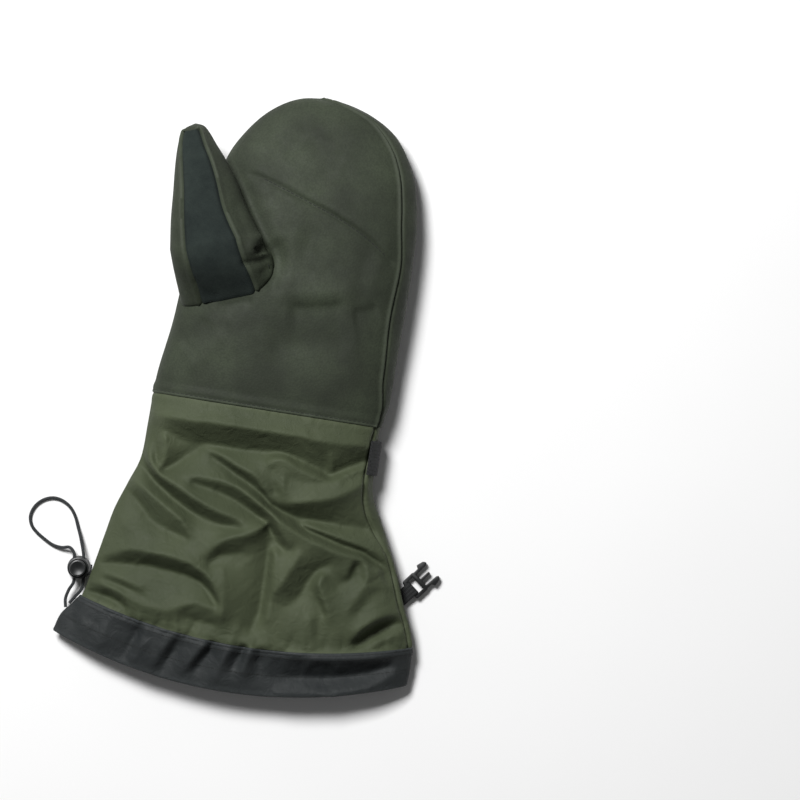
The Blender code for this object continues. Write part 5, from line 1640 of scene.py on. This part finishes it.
        here, pad_rows = across[:, :-1], sum(self.row_steps[:2])
        from_right = np.minimum(here, across[:, -1:] - here)
        beside = np.minimum(from_right, np.abs(here - across[:, self.pad_columns : self.pad_columns + 1]))
        past_end = np.hypot(beside, np.abs(along - along[pad_rows])[:, None])
        seamed = np.where(rows[:, None] <= self.pad_end, beside, past_end)
        is_pad = np.zeros((len(rows) - 1, angles.shape[1]), bool)
        is_pad[:pad_rows, : self.pad_columns] = True
        x, y = outer[..., 0] / MM, (outer[..., 1] - skin.wrist_y) / MM
        upward = smoothstep(2.5 * grid.normal[..., 2])
        low = bell(along[:, None], 1.2 * MM) * -0.6 * MM
        low = low + upward * MM * sum(fold.relief(x, y) for fold in self.folds)
        wear = bell(seamed, 1.8 * MM)
        suede, leather, lining = map(self.wardrobe, (Finish.SUEDE, Finish.LEATHER, Finish.LINING))
        pad_offset = Edge.VALLEY.offset(seamed) * 0.9 + low
        made = grid.panel("thumb_pad_suede", is_pad, pad_offset, wear * 0.4, [suede, lining])
        dress(made, "suede", "thumb_pad")
        shell_offset = Edge.ROLLED.offset(seamed) * 0.8 + low
        shell = grid.panel("thumb_shell_leather", ~is_pad, shell_offset, wear, [leather, lining])
        dress(shell, "leather", "thumb_shell")


# Straps: bands swept along a path


def arc(centre: tuple, radius: float, start: float, end: float, steps: int) -> Array:
    """Points of an arc, its angles in degrees."""
    turns = np.radians(np.linspace(start, end, steps + 1))
    return np.array(centre) + radius * np.stack([np.cos(turns), np.sin(turns)], axis=1)


@dataclass
class Band:
    """A woven band of even width, swept along a path in a plane that its width crosses."""

    name: str
    path: Array  # points, the way along and the height
    low: float
    high: float
    thickness: float
    step: float = 0.6 * MM
    across_steps: int = 16
    second: tuple[float, float] = (0.0, 0.0)  # the part of its length that has the second finish

    def build(self, *finishes: Material, frame_matrix: Matrix | None = None) -> Object:
        """Makes the band with soft edges.

        Args:
            *finishes: its material, and the one of its second part.
            frame_matrix: where its plane lies. Without one, the way along is X.

        Returns:
            The band.
        """
        line = evenly(self.path, self.step)
        ahead = unit(np.gradient(line, axis=0))
        normal = np.stack([-ahead[:, 1], ahead[:, 0]], axis=1)
        half = self.thickness / 2
        turns = np.linspace(0, np.pi, 5)
        flat = np.linspace(self.high - half, self.low + half, self.across_steps)
        right = [(self.high - half + half * math.sin(t), half * math.cos(t)) for t in turns[::-1]]
        left = [(self.low + half - half * math.sin(t), half * math.cos(t)) for t in turns]
        ring = right + [(y, half) for y in flat[1:-1]] + left + [(y, -half) for y in flat[::-1][1:-1]]
        run = lengths_along(line)
        vertices, parts, rims = [], [], [0.0]
        for a, b in zip(ring, ring[1:] + ring[:1]):
            rims.append(rims[-1] + math.dist(a, b))
        for point, out in zip(line, normal):
            for y, away in ring:
                spot = point + out * away
                vertices.append((spot[0], y, spot[1]))
        count, rows = len(ring), len(line)
        faces, flat_places = swept(rows, count, run, rims)
        for place in run[:-1]:
            parts += [int(self.second[0] < place < self.second[1])] * count
        for row, turn in ((0, -1), (rows - 1, 1)):
            cap = [row * count + i for i in range(count)][::turn]
            faces.append(cap)
            parts.append(0)
            flat_places += [(run[row] + vertices[i][2], vertices[i][1]) for i in cap]
        points = np.array(vertices)
        if frame_matrix is not None:
            points = np.array([frame_matrix @ Vector(p) for p in points])
        flat = np.array(flat_places)
        return make_mesh(self.name, points, faces, list(finishes), np.array(parts), flat, sharp=60)


@dataclass
class WristStrap:
    """The wrist strap with its moulded ring and the ring's tab, across the back of the wrist."""

    skin: MittenSkin
    wardrobe: Wardrobe
    sizes: StrapSizes = STRAP

    def underside(self, x: float, stations: Array) -> float:
        """The lowest place of the skin's underside at x, over the stations."""
        row = spline(self.skin.rows, stations[len(stations) // 2])
        across = (x - (row[1] + row[2]) / 2) / ((row[2] - row[1]) / 2)
        bend = power(np.array(across), self.skin.roundness(row[0]) / 2)
        angle = -math.degrees(math.acos(float(np.clip(bend, -1, 1))))
        return float(self.skin.point(np.full(3, angle), stations)[:, 2].min())

    def outside(self, angle: float, stations: Array) -> Array:
        """The strap's middle line outside the skin at this angle."""
        clear = 2 * GAP + self.sizes.thickness / 2
        here = self.skin.point(np.full(3, angle), stations)
        after = self.skin.point(np.full(3, angle - 4), stations)
        best = None
        for p, q in zip(here, after):
            ahead = unit(np.array([q[0] - p[0], q[2] - p[2]]))
            moved = np.array([p[0], p[2]]) + np.array([-ahead[1], ahead[0]]) * clear
            if best is None or np.linalg.norm(moved) > np.linalg.norm(best):
                best = moved
        return best

    def build(self) -> None:
        """Builds and dresses the strap, the tab and the ring."""
        s = self.sizes
        low, high = s.y - s.width / 2, s.y + s.width / 2
        stations = self.skin.station_of(np.array([low, s.y, high]))
        radius = s.turn_radius + s.thickness / 2
        bar = (s.ring_x + s.ring_length / 2 - s.ring_bar / 2, s.thickness + s.turn_radius)
        path = [self.outside(s.start_angle - a, stations) for a in range(0, 70, 7)]
        start_x, clear = path[-1][0], GAP + s.thickness / 2
        for x in np.linspace(start_x, bar[0], 25)[1:-1]:
            path.append(np.array([x, self.underside(x, stations) - clear]))
        loop = arc(bar, radius, 90, 270, 12)
        free = [(bar[0] + s.free_length * i / 8, s.thickness / 2) for i in range(1, 9)]
        smooth = np.vstack([smooth_line(np.array(path), 3), loop, free])
        tape = (s.tape_from, lengths_along(smooth)[-1])
        strap = Band("wrist_strap_webbing", smooth, low, high, s.thickness, second=tape)
        finishes = [self.wardrobe(finish) for finish in (Finish.WEBBING, Finish.LOOP_TAPE)]
        dress(strap.build(*finishes), "webbing", "wrist_strap")

        tab_bar = (s.ring_x - s.ring_length / 2 + s.ring_bar / 2, bar[1])
        radius = s.turn_radius + s.tab_thickness / 2
        leg = tab_bar[0] - radius
        sewn = 2 * GAP + s.tab_thickness / 2
        top = (leg, self.underside(leg + s.tab_thickness, stations) - sewn)
        end = (tab_bar[0] + radius, tab_bar[1] + s.turn_radius)
        path = np.vstack([[top], arc(tab_bar, radius, 180, 360, 12), [end]])
        clear = s.tab_side_clearance
        tab = Band("ring_tab_webbing", path, low + clear, high - clear, s.tab_thickness)
        dress(tab.build(self.wardrobe(Finish.WEBBING)), "webbing", "ring_tab")
        self.build_ring(bar[1])

    def build_ring(self, height: float) -> None:
        """Builds the ring as one round-cornered bar swept round a rectangle.

        Args:
            height: the height of its middle.
        """
        s = self.sizes
        width = s.width + 2 * s.ring_bar + 2 * s.ring_side_clearance
        corner = s.ring_corner - s.ring_bar / 2 + 0.6 * MM
        half_x, half_y = (s.ring_length - s.ring_bar) / 2, (width - s.ring_bar) / 2
        middle = []
        for i, (sx, sy) in enumerate(((1, 1), (-1, 1), (-1, -1), (1, -1))):
            centre = (sx * (half_x - corner), sy * (half_y - corner))
            middle.extend(arc(centre, corner, 90 * i, 90 * i + 90, 10))
        middle = np.array(middle)
        ahead = unit(np.roll(middle, -1, axis=0) - np.roll(middle, 1, axis=0))
        out = np.stack([ahead[:, 1], -ahead[:, 0]], axis=1)
        turns = np.linspace(0, 2 * np.pi, 24, endpoint=False)
        half = s.ring_bar / 2
        profile = np.stack([power(np.cos(turns), 0.45), power(np.sin(turns), 0.45)], axis=1) * half
        vertices = []
        for spot, away in zip(middle, out):
            for sideways, up in profile:
                flat = spot + away * sideways
                vertices.append((s.ring_x + flat[0], s.y + flat[1], height + up))
        rows, count = len(middle), len(profile)
        faces = []
        for row in range(rows):
            low, high = row * count, (row + 1) % rows * count
            for i in range(count):
                j = (i + 1) % count
                faces.append([low + i, low + j, high + j, high + i])
        made = make_mesh("strap_ring_moulded", vertices, faces, [self.wardrobe(Finish.ACETAL)])
        dress(made, "acetal", "strap_ring")


# Cord lock, drawcord and their tab


def bake(obj: Object) -> None:
    """Keeps what an object's modifiers make as its mesh."""
    graph = bpy.context.evaluated_depsgraph_get()
    mesh = bpy.data.meshes.new_from_object(obj.evaluated_get(graph))
    obj.modifiers.clear()
    obj.data = mesh


def outward(obj: Object, bevel: float, segments: int = 3, angle: float = 40.0) -> Object:
    """Rounds an object's sharp edges and keeps the result as its mesh.

    Args:
        obj: the object, with its cutting modifiers on it.
        bevel: the radius of the rounding.
        segments: how many faces cross it.
        angle: the angle above which an edge is rounded, in degrees.

    Returns:
        The object.
    """
    rounding = obj.modifiers.new("rounding", "BEVEL")
    rounding.width = bevel
    rounding.segments = segments
    rounding.limit_method = "ANGLE"
    rounding.angle_limit = math.radians(angle)
    rounding.harden_normals = False
    bake(obj)
    obj.data.shade_smooth()
    obj.data.set_sharp_from_angle(angle=math.radians(SMOOTH_ANGLE))
    return obj


def cut_away(obj: Object, *cutters: Object) -> None:
    """Cuts shapes out of an object and removes them from the scene."""
    for cutter in cutters:
        boolean = obj.modifiers.new(f"cut_{cutter.name}", "BOOLEAN")
        boolean.operation = "DIFFERENCE"
        boolean.solver = "EXACT"
        boolean.object = cutter
    bake(obj)
    for cutter in cutters:
        bpy.data.objects.remove(cutter, do_unlink=True)


def turned(name: str, profile: tuple, place: Matrix, finish: Material, sides: int = 96) -> Object:
    """A solid of revolution.

    Args:
        name: the piece's name.
        profile: radius and height pairs, from the axis to the axis.
        place: where its axis stands.
        finish: its material.
        sides: how many sides it has.

    Returns:
        The object.
    """
    turns = np.linspace(0, 2 * np.pi, sides, endpoint=False)
    vertices = [Vector((0, 0, profile[0][1])), Vector((0, 0, profile[-1][1]))]
    inner = profile[1:-1]
    for radius, height in inner:
        vertices += [Vector((radius * math.cos(t), radius * math.sin(t), height)) for t in turns]
    faces = []
    for i in range(sides):
        j = (i + 1) % sides
        faces.append([0, 2 + j, 2 + i])
        last = 2 + (len(inner) - 1) * sides
        faces.append([1, last + i, last + j])
        for level in range(len(inner) - 1):
            low, high = 2 + level * sides, 2 + (level + 1) * sides
            faces.append([low + i, low + j, high + j, high + i])
    return make_mesh(name, np.array([place @ v for v in vertices]), faces, [finish])


def block(name: str, low: tuple, high: tuple, place: Matrix, finish: Material) -> Object:
    """A box between two corners, in the place's own directions."""
    across, along, up = zip(low, high)
    corners = [Vector((x, y, z)) for x in across for y in along for z in up]
    faces = [[0, 1, 3, 2], [4, 6, 7, 5], [0, 4, 5, 1], [2, 3, 7, 6], [0, 2, 6, 4], [1, 5, 7, 3]]
    return make_mesh(name, np.array([place @ c for c in corners]), faces, [finish])


@dataclass
class CordLock:
    """The cord lock: an open barrel, the sprung button in it and the tab that holds it."""

    wardrobe: Wardrobe
    place: Vector
    turn: float = 8.0
    barrel_diameter: float = 0.0155
    barrel_height: float = 0.0140
    floor: float = 0.0016
    waist: float = 0.0007
    round_off: float = 0.0008
    button_diameter: float = 0.0110
    stands_out: float = 0.0042
    travel: float = 0.0035
    clearance: float = 0.0003
    cord_diameter: float = 0.0021
    cord_spacing: float = 0.0062
    hole_clearance: float = 0.0003
    above_button_end: float = 0.0010
    tab_thickness: float = 0.0014

    @property
    def frame_matrix(self) -> Matrix:
        """Where the lock stands and how it is turned."""
        turn = Matrix.Rotation(math.radians(self.turn), 4, "Z")
        return Matrix.Translation(self.place.to_3d()) @ turn

    @property
    def seat(self) -> float:
        """The height of the button's lower end."""
        return self.floor + self.travel + self.clearance

    @property
    def slot_half(self) -> float:
        """Half the height of the cord's passage."""
        return self.cord_diameter / 2 + self.hole_clearance

    @property
    def cord_height(self) -> float:
        """The height of the cord's middle in the lock."""
        return self.seat + self.above_button_end + self.slot_half

    def build(self) -> None:
        """Builds and dresses the barrel and the button."""
        finish = self.wardrobe(Finish.ACETAL)
        outer, bore = self.barrel_diameter / 2, self.button_diameter / 2 + self.clearance
        waist, edge, tall = outer - self.waist, self.round_off, self.barrel_height
        flutes = (0.30, 0.42)
        barrel = turned(
            "cord_lock_barrel_moulded",
            (
                (0.0, 0.0),
                (outer - edge, 0.0),
                (outer - 0.3 * edge, 0.3 * edge),
                (outer, edge),
                (outer, flutes[0] * tall),
                (waist + 0.15 * self.waist, flutes[1] * tall - 0.3 * MM),
                (waist, flutes[1] * tall),
                (waist, tall - edge),
                (waist - 0.3 * edge, tall - 0.3 * edge),
                (waist - edge, tall),
                (bore + 0.25 * MM, tall),
                (bore, tall - 0.25 * MM),
                (bore, self.floor),
                (0.0, self.floor),
            ),
            self.frame_matrix,
            finish,
        )
        wide = self.cord_spacing / 2 + self.slot_half
        low = (-wide, -self.barrel_diameter, self.cord_height - self.slot_half)
        high = (wide, self.barrel_diameter, self.cord_height + self.slot_half)
        cut_away(barrel, block("barrel_slot", low, high, self.frame_matrix, finish))
        outward(barrel, 0.25 * MM, 2, 50)
        dress(barrel, "acetal", "cord_lock_barrel", body="root")

        radius, top = self.button_diameter / 2, self.barrel_height + self.stands_out
        button = turned(
            "cord_lock_button_moulded",
            (
                (0.0, self.seat),
                (radius - 0.2 * MM, self.seat),
                (radius, self.seat + 0.2 * MM),
                (radius, top - edge),
                (radius - 0.3 * edge, top - 0.3 * edge),
                (radius - edge, top),
                (radius - 1.5 * edge, top),
                (radius - 2.0 * edge, top - 0.25 * MM),
                (0.0, top - 0.35 * MM),
            ),
            self.frame_matrix,
            finish,
        )
        raised = (high[0], high[1], high[2] + self.travel)
        cut_away(button, block("button_slot", low, raised, self.frame_matrix, finish))
        outward(button, 0.2 * MM, 2, 50)
        dress(button, "acetal", "cord_lock_button", body="lock_button")

    def build_tab(self) -> None:
        """Builds the short webbing tab between the barrel and the cuff."""
        low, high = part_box("cord_lock_tab")
        height = (low.z + high.z) / 2
        path = np.array([(low.x, height), (high.x + 0.6 * MM, height)])
        tab = Band("cord_lock_tab_webbing", path, low.y, high.y, self.tab_thickness, 0.5 * MM, 10)
        dress(tab.build(self.wardrobe(Finish.WEBBING)), "webbing", "cord_lock_tab")


@dataclass
class Drawcord:
    """The hem's drawcord: out of the hem, through the lock, round its loop and back."""

    lock: CordLock
    wardrobe: Wardrobe
    sides: int = 14
    step: float = 0.55 * MM
    # Places from the lock's middle on the floor; ("in", side, along) is a place in the lock
    route: tuple = (
        (-0.0043, -0.0271, 0.0095),
        (-0.0053, -0.0215, 0.0088),
        (-0.0041, -0.0155, 0.0079),
        ("in", -1, 1.0),
        ("in", -1, 0.33),
        ("in", -1, -0.33),
        ("in", -1, -1.0),
        (-0.0081, 0.0123, 0.0056),
        (-0.0137, 0.0113, 0.0030),
        (-0.0199, 0.0121, 0.0014),
        (-0.0261, 0.0152, 0.0012),
        (-0.0319, 0.0190, 0.0012),
        (-0.0359, 0.0232, 0.0012),
        (-0.0374, 0.0292, 0.0012),
        (-0.0353, 0.0357, 0.0012),
        (-0.0304, 0.0407, 0.0012),
        (-0.0239, 0.0430, 0.0012),
        (-0.0174, 0.0419, 0.0012),
        (-0.0118, 0.0383, 0.0012),
        (-0.0077, 0.0327, 0.0013),
        (-0.0049, 0.0264, 0.0022),
        (-0.0021, 0.0203, 0.0046),
        ("in", 1, -1.0),
        ("in", 1, -0.33),
        ("in", 1, 0.33),
        ("in", 1, 1.0),
        (0.0040, -0.0140, 0.0080),
        (0.0007, -0.0193, 0.0086),
        (-0.0023, -0.0241, 0.0094),
    )

    def centre_line(self) -> Array:
        """The cord's middle line, at even steps."""
        lock = self.lock
        passage = lock.barrel_diameter / 2 + 0.8 * lock.cord_diameter
        points = []
        for row in self.route:
            if row[0] == "in":
                _, side, along = row
                local = Vector((side * lock.cord_spacing / 2, -along * passage, lock.cord_height))
                points.append(lock.frame_matrix @ local)
            else:
                points.append(lock.place.to_3d() + Vector(row))
        return evenly(smooth_line(np.array([tuple(p) for p in points]), 12), self.step)

    def build(self) -> None:
        """Builds and dresses the cord as a tube round its middle line."""
        line = self.centre_line()
        ahead = unit(np.gradient(line, axis=0))
        side = np.cross(ahead[0], (0.0, 0.0, 1.0))
        radius = self.lock.cord_diameter / 2
        turns = np.linspace(0, 2 * np.pi, self.sides, endpoint=False)
        vertices = []
        for spot, way in zip(line, ahead):
            side = unit(side - way * side.dot(way))
            other = np.cross(way, side)
            vertices += [spot + radius * (math.cos(t) * side + math.sin(t) * other) for t in turns]
        run, count, rows = lengths_along(line), self.sides, len(line)
        rim = 2 * math.pi * radius / count
        faces, flat = swept(rows, count, run, rim * np.arange(count + 1))
        for r, turn in ((0, -1), (rows - 1, 1)):
            faces.append([r * count + i for i in range(count)][::turn])
            flat += [(run[r] + 0.3 * MM * i, 0.0) for i in range(count)]
        finishes = [self.wardrobe(Finish.CORD)]
        made = make_mesh("drawcord_braid", vertices, faces, finishes, cloth=np.array(flat))
        dress(made, "cord", "drawcord")
        log.info("drawcord: %.1f mm long", run[-1] / MM)


@dataclass
class ClipPlug:
    """The plug half of a side-release clip, on a short doubled webbing."""

    wardrobe: Wardrobe
    place: Vector
    turn: float = -38.0
    width: float = 0.0150
    thickness: float = 0.0036
    body_length: float = 0.0100
    bar: float = 0.0024
    corner: float = 0.0012
    prong_length: float = 0.0110
    prong_width: float = 0.0022
    barb: float = 0.0016
    inset: float = 0.0006
    prong_round_off: float = 0.0015
    guide_width: float = 0.0018
    guide_to_tip: float = 0.0030
    webbing_width: float = 0.0095
    webbing_thickness: float = 0.0010

    @property
    def frame_matrix(self) -> Matrix:
        """Where the plug lies and how it is turned."""
        lift = Matrix.Translation(Vector((*self.place, self.webbing_thickness + GAP)))
        return lift @ Matrix.Rotation(math.radians(self.turn), 4, "Z")

    def outline(self) -> list[tuple[float, float]]:
        """The plug's outline in plan, from the web bar's right corner round to its left one."""
        half, shoulder, guide = self.width / 2, self.body_length, self.guide_width / 2
        tip, wide, barb = shoulder + self.prong_length, self.prong_width, self.barb
        right = [
            (half - self.corner, 0.0),
            (half - 0.3 * self.corner, 0.3 * self.corner),
            (half, self.corner),
            (half, shoulder - self.corner),
            (half - 0.2 * self.inset, shoulder - 0.3 * self.corner),
            (half - self.inset, shoulder),
            (half - self.inset, shoulder + 0.35 * self.prong_length),
            (half + barb, shoulder + 0.45 * self.prong_length),
            (half + 0.8 * barb, shoulder + 0.62 * self.prong_length),
            (half + 0.4 * barb, tip - self.prong_round_off),
            (half - 0.2 * wide, tip - 0.3 * self.prong_round_off),
            (half - 0.7 * wide, tip),
            (half - 1.1 * wide, tip - self.prong_round_off),
            (half - self.inset - wide, shoulder + self.inset),
            (guide, shoulder + self.inset),
            (guide * 0.8, tip - self.guide_to_tip),
        ]
        return right + [(-x, y) for x, y in reversed(right)]

    def build(self) -> None:
        """Builds and dresses the plug and its webbing."""
        finish = self.wardrobe(Finish.ACETAL)
        outline = self.outline()
        count = len(outline)
        vertices = [Vector((*p, z)) for z in (0.0, self.thickness) for p in outline]
        faces = [list(range(count))[::-1], [count + i for i in range(count)]]
        faces += [[i, (i + 1) % count, count + (i + 1) % count, count + i] for i in range(count)]
        place = self.frame_matrix
        plug = make_mesh("clip_plug_moulded", np.array([place @ v for v in vertices]), faces, [finish])
        inner = self.width / 2 - self.bar
        low = (-inner, self.bar, -self.thickness)
        high = (inner, self.body_length - self.bar, 2 * self.thickness)
        cut_away(plug, block("plug_window", low, high, place, finish))
        outward(plug, 0.35 * MM, 3, 35)
        dress(plug, "acetal", "clip_plug")

        low_box, high_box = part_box("clip_webbing")
        back = place.to_3x3() @ Vector((0, -1, 0))
        corners = [Vector((x, y, 0)) for x in (low_box.x, high_box.x) for y in (low_box.y, high_box.y)]
        reach = [(spot - place.translation).dot(back) for spot in corners]
        corner = math.cos(math.radians(self.turn)) * self.webbing_width / 2
        length = min(max(reach), (place.translation.x - low_box.x - corner) / abs(back.x))
        radius = (self.bar + self.webbing_thickness) / 2 + GAP
        middle = self.thickness / 2
        lift = self.thickness / 2 + GAP + self.webbing_thickness / 2
        spread = 2.2 * self.webbing_thickness
        bar = np.array([self.bar / 2, middle])
        around = [(-0.4, 1.0), (0.75, 1.0), (1.05, 0.75), (1.05, -0.75), (0.75, -1.0), (-0.4, -1.0)]
        path = [(-length, middle + 0.75 * spread), (-0.55 * length, middle + 0.75 * spread)]
        path += [tuple(bar + (a * radius, b * lift)) for a, b in around]
        path += [(-0.55 * length, middle), (-length, middle)]
        half = self.webbing_width / 2
        path = np.array(path)
        webbing = Band("clip_webbing_woven", path, -half, half, self.webbing_thickness, 0.4 * MM, 10)
        turned_place = place @ Matrix.Rotation(math.radians(90), 4, "Z")
        webbing = webbing.build(self.wardrobe(Finish.WEBBING), frame_matrix=turned_place)
        dress(webbing, "webbing", "clip_webbing")


# Stitching


@dataclass(frozen=True)
class Stitching:
    """Lock stitches laid along lines on the panels: one short bead of thread for each."""

    length: float = 2.3 * MM
    pitch: float = 3.2 * MM
    thickness: float = 0.5 * MM
    sunk: float = 0.05 * MM

    def build(self, name: str, lines: list[tuple[Array, Array]], finish: Material, slot: str) -> Object:
        """Builds and dresses the stitches of several lines as one piece.

        Args:
            name: the piece's name.
            lines: for each line, its points and the normals there.
            finish: the thread's material.
            slot: the record's slot of the cloth that it is sewn through.

        Returns:
            The piece.
        """
        vertices, faces, flat = [], [], []
        profile = ((-0.5, 0.3), (-0.42, 0.75), (-0.2, 1.0), (0.2, 1.0), (0.42, 0.75), (0.5, 0.3))
        sides = 6
        run = np.arange(len(profile)) * 0.4 * MM
        bead, bead_flat = swept(len(profile), sides, run, np.arange(sides + 1) * 0.3 * MM)
        for line, normals in lines:
            run = lengths_along(line)
            count = max(1, int(run[-1] / self.pitch))
            places = (np.arange(count) + 0.5) * run[-1] / count
            for place in places:
                start, end = [read_line(line, run, place + s * self.length / 2) for s in (-1, 1)]
                out = read_line(normals, run, place)
                way = end - start
                size = np.linalg.norm(way)
                if size < 0.3 * self.length:
                    continue
                way /= size
                out = unit(out - way * out.dot(way))
                side = np.cross(way, out)
                middle = (start + end) / 2 + out * self.sunk
                first = len(vertices)
                for share, wide in profile:
                    sag = -0.28 * MM * (2 * share) ** 4
                    for k in range(sides):
                        t = 2 * math.pi * k / sides
                        away = math.cos(t) * side + 0.8 * math.sin(t) * out
                        spot = middle + way * share * size + out * sag
                        vertices.append(spot + away * wide * self.thickness / 2)
                faces += [[first + corner for corner in face] for face in bead]
                flat += bead_flat
                last = first + (len(profile) - 1) * sides
                faces.append([first + k for k in range(sides)][::-1])
                faces.append([last + k for k in range(sides)])
                flat += [(0.1 * MM * k, 0.0) for k in range(2 * sides)]
        points = np.maximum(np.array(vertices), (-np.inf, -np.inf, 0.0))
        made = make_mesh(name, points, faces, [finish], None, np.array(flat), sharp=70)
        return dress(made, slot)


@dataclass
class Sewing:
    """Every visible line of stitches on the hand and cuff."""

    shell: HandShell
    wardrobe: Wardrobe
    inset: float = 2.1 * MM
    palm_line: tuple = PALM_LINE

    def on_panel(self, panel: str, line: Array, normals: Array) -> tuple[Array, Array]:
        """The line moved onto the panel's outer face.

        Args:
            panel: the panel's name.
            line: points near the panel.
            normals: the directions out of the skin there.

        Returns:
            Points and normals on the panel.
        """
        if panel not in self.trees:
            self.trees[panel] = tree_of(self.shell.panels[panel])
        points, out = [], []
        for spot, way in zip(line, normals):
            way = Vector(way).normalized()
            hit, normal, _, _ = self.trees[panel].ray_cast(Vector(spot) + 0.006 * way, -way, 0.012)
            if hit is not None:
                points.append(tuple(hit))
                out.append(tuple(normal))
        return np.array(points), np.array(out)

    def row_line(self, panel: str, seam: int, side: int, columns: slice) -> tuple[Array, Array]:
        """A line that runs beside a seam across the mitten."""
        shell = self.shell
        wanted = shell.along[shell.row_ends[seam]] + side * self.inset
        row = int(np.argmin(np.abs(shell.along - wanted)))
        points, normals = shell.grid.outer[row, columns], shell.grid.normal[row, columns]
        return self.on_panel(panel, points, normals)

    def column_line(self, panel: str, column: int, rows: slice) -> tuple[Array, Array]:
        """A line that runs beside a seam along the mitten."""
        points, normals = self.shell.grid.outer[rows, column], self.shell.grid.normal[rows, column]
        return self.on_panel(panel, points, normals)

    def build(self) -> None:
        """Builds the stitching."""
        self.trees: dict[str, BVHTree] = {}
        shell = self.shell
        front, back = shell.front_columns, shell.front_columns + shell.back_columns
        rows = shell.row_ends
        thread = self.wardrobe(Finish.THREAD)
        stitches = Stitching()
        x, y = np.array(self.palm_line).T * MM
        above_palm = np.full_like(x, 0.045)
        line = evenly(smooth_line(np.stack([x, y + shell.skin.wrist_y, above_palm], axis=1), 8), MM)
        up = np.tile((0.0, 0.0, 1.0), (len(line), 1))
        hand = [
            self.row_line("palm_panel", 2, 1, slice(2, front - 1)),
            self.row_line("side_gusset", 2, 1, slice(back + 2, None)),
            self.column_line("side_gusset", back + 5, slice(rows[2] + 3, rows[5] - 4)),
            self.on_panel("palm_panel", line, up),
        ]
        stitches.build("hand_stitches", hand, thread, "leather")
        hem = [
            self.row_line("hem", 1, -1, slice(0, None)),
            self.row_line("hem", 1, -2, slice(0, None)),
            self.row_line("hem", 0, 7, slice(0, None)),
        ]
        stitches.build("hem_stitches", hem, thread, "hem_nylon")
        welt = [self.row_line("back_panel", 3, -1, slice(front + 3, back - 2))]
        stitches.build("back_stitches", welt, thread, "nylon")


# The studio


@dataclass(frozen=True)
class Studio:
    """A white table top under soft light, seen from straight above."""

    floor_side: float = 8.0
    middle: tuple[float, float] = (0.0864, -0.0162)
    look_height: float = 0.025
    distance: float = 3.0
    view_width: float = 0.528
    roll: float = 9.0
    elevation: float = 90.0

    def build_floor(self, wardrobe: Wardrobe) -> None:
        """Builds the floor."""
        half = self.floor_side / 2
        corners = np.array([(-half, -half, 0), (half, -half, 0), (half, half, 0), (-half, half, 0)])
        flat = make_mesh("studio_floor", corners, [[0, 1, 2, 3]], [wardrobe(Finish.FLOOR)])
        flat.location.z = -0.0002

    def build_camera(self) -> None:
        """Sets the camera above the mitten, rolled as the photographer held it."""
        data = bpy.data.cameras.new("studio_camera")
        data.sensor_width = 36.0
        data.lens = data.sensor_width * self.distance / self.view_width
        data.clip_end = 50.0
        camera = bpy.data.objects.new("studio_camera", data)
        roll, tilt = math.radians(self.roll), math.radians(90 - self.elevation)
        right = Vector((math.cos(roll), math.sin(roll), 0))
        up = Vector((-math.sin(roll), math.cos(roll), 0))
        out = (Vector((0, 0, 1)) * math.cos(tilt) - up * math.sin(tilt)).normalized()
        top = out.cross(right)
        turn = Matrix((right, top, out)).transposed().to_4x4()
        aim = Vector((*self.middle, self.look_height))
        camera.matrix_world = Matrix.Translation(aim + out * self.distance) @ turn
        bpy.context.scene.collection.objects.link(camera)
        bpy.context.scene.camera = camera

    def build_lights(self) -> None:
        """Sets a broad soft light at the upper left, a weak fill and a white surround."""
        for name, place, size, power_watts in (
            ("key", (-0.80, 0.95, 1.95), 0.7, 70.0),
            ("fill", (1.4, -1.2, 2.2), 2.4, 2.0),
        ):
            data = bpy.data.lights.new(f"{name}_softbox", "AREA")
            data.shape = "SQUARE"
            data.size = size
            data.energy = power_watts
            light = bpy.data.objects.new(f"{name}_softbox", data)
            spot = Vector(place)
            light.location = spot
            light.rotation_euler = (spot - Vector((0, 0, 0.02))).to_track_quat("Z", "Y").to_euler()
            bpy.context.scene.collection.objects.link(light)
        world = bpy.data.worlds.new("white_surround")
        world.use_nodes = True
        backdrop = world.node_tree.nodes["Background"]
        backdrop.inputs["Color"].default_value = (1.0, 1.0, 1.0, 1.0)
        backdrop.inputs["Strength"].default_value = 0.10
        bpy.context.scene.world = world
        bpy.context.scene.view_settings.view_transform = "Standard"


LOCK_ABOVE_HEM, LOCK_OUTSIDE = 0.0655, 0.0091
PLUG_ABOVE_HEM, PLUG_OUTSIDE = 0.0845, 0.0061


def main() -> None:
    """Builds the mitten's pieces and the studio in order."""
    wardrobe = Wardrobe()
    skin = MittenSkin()
    studio = Studio()
    studio.build_camera()
    lock = CordLock(wardrobe, skin.edge_at(skin.hem_y + LOCK_ABOVE_HEM, 1) - Vector((LOCK_OUTSIDE, 0)))
    Drawcord(lock, wardrobe).build()
    lock.build()
    lock.build_tab()
    shell = HandShell(skin, wardrobe)
    shell.lay_grid()
    shell.build(Thumb.hole(skin))
    Thumb(shell.panels["palm_panel"], wardrobe).build(skin)
    WristStrap(skin, wardrobe).build()
    ClipPlug(wardrobe, skin.edge_at(skin.hem_y + PLUG_ABOVE_HEM, 2) + Vector((PLUG_OUTSIDE, 0))).build()
    Sewing(shell, wardrobe).build()
    studio.build_floor(wardrobe)
    studio.build_lights()


if __name__ == "__main__":
    main()
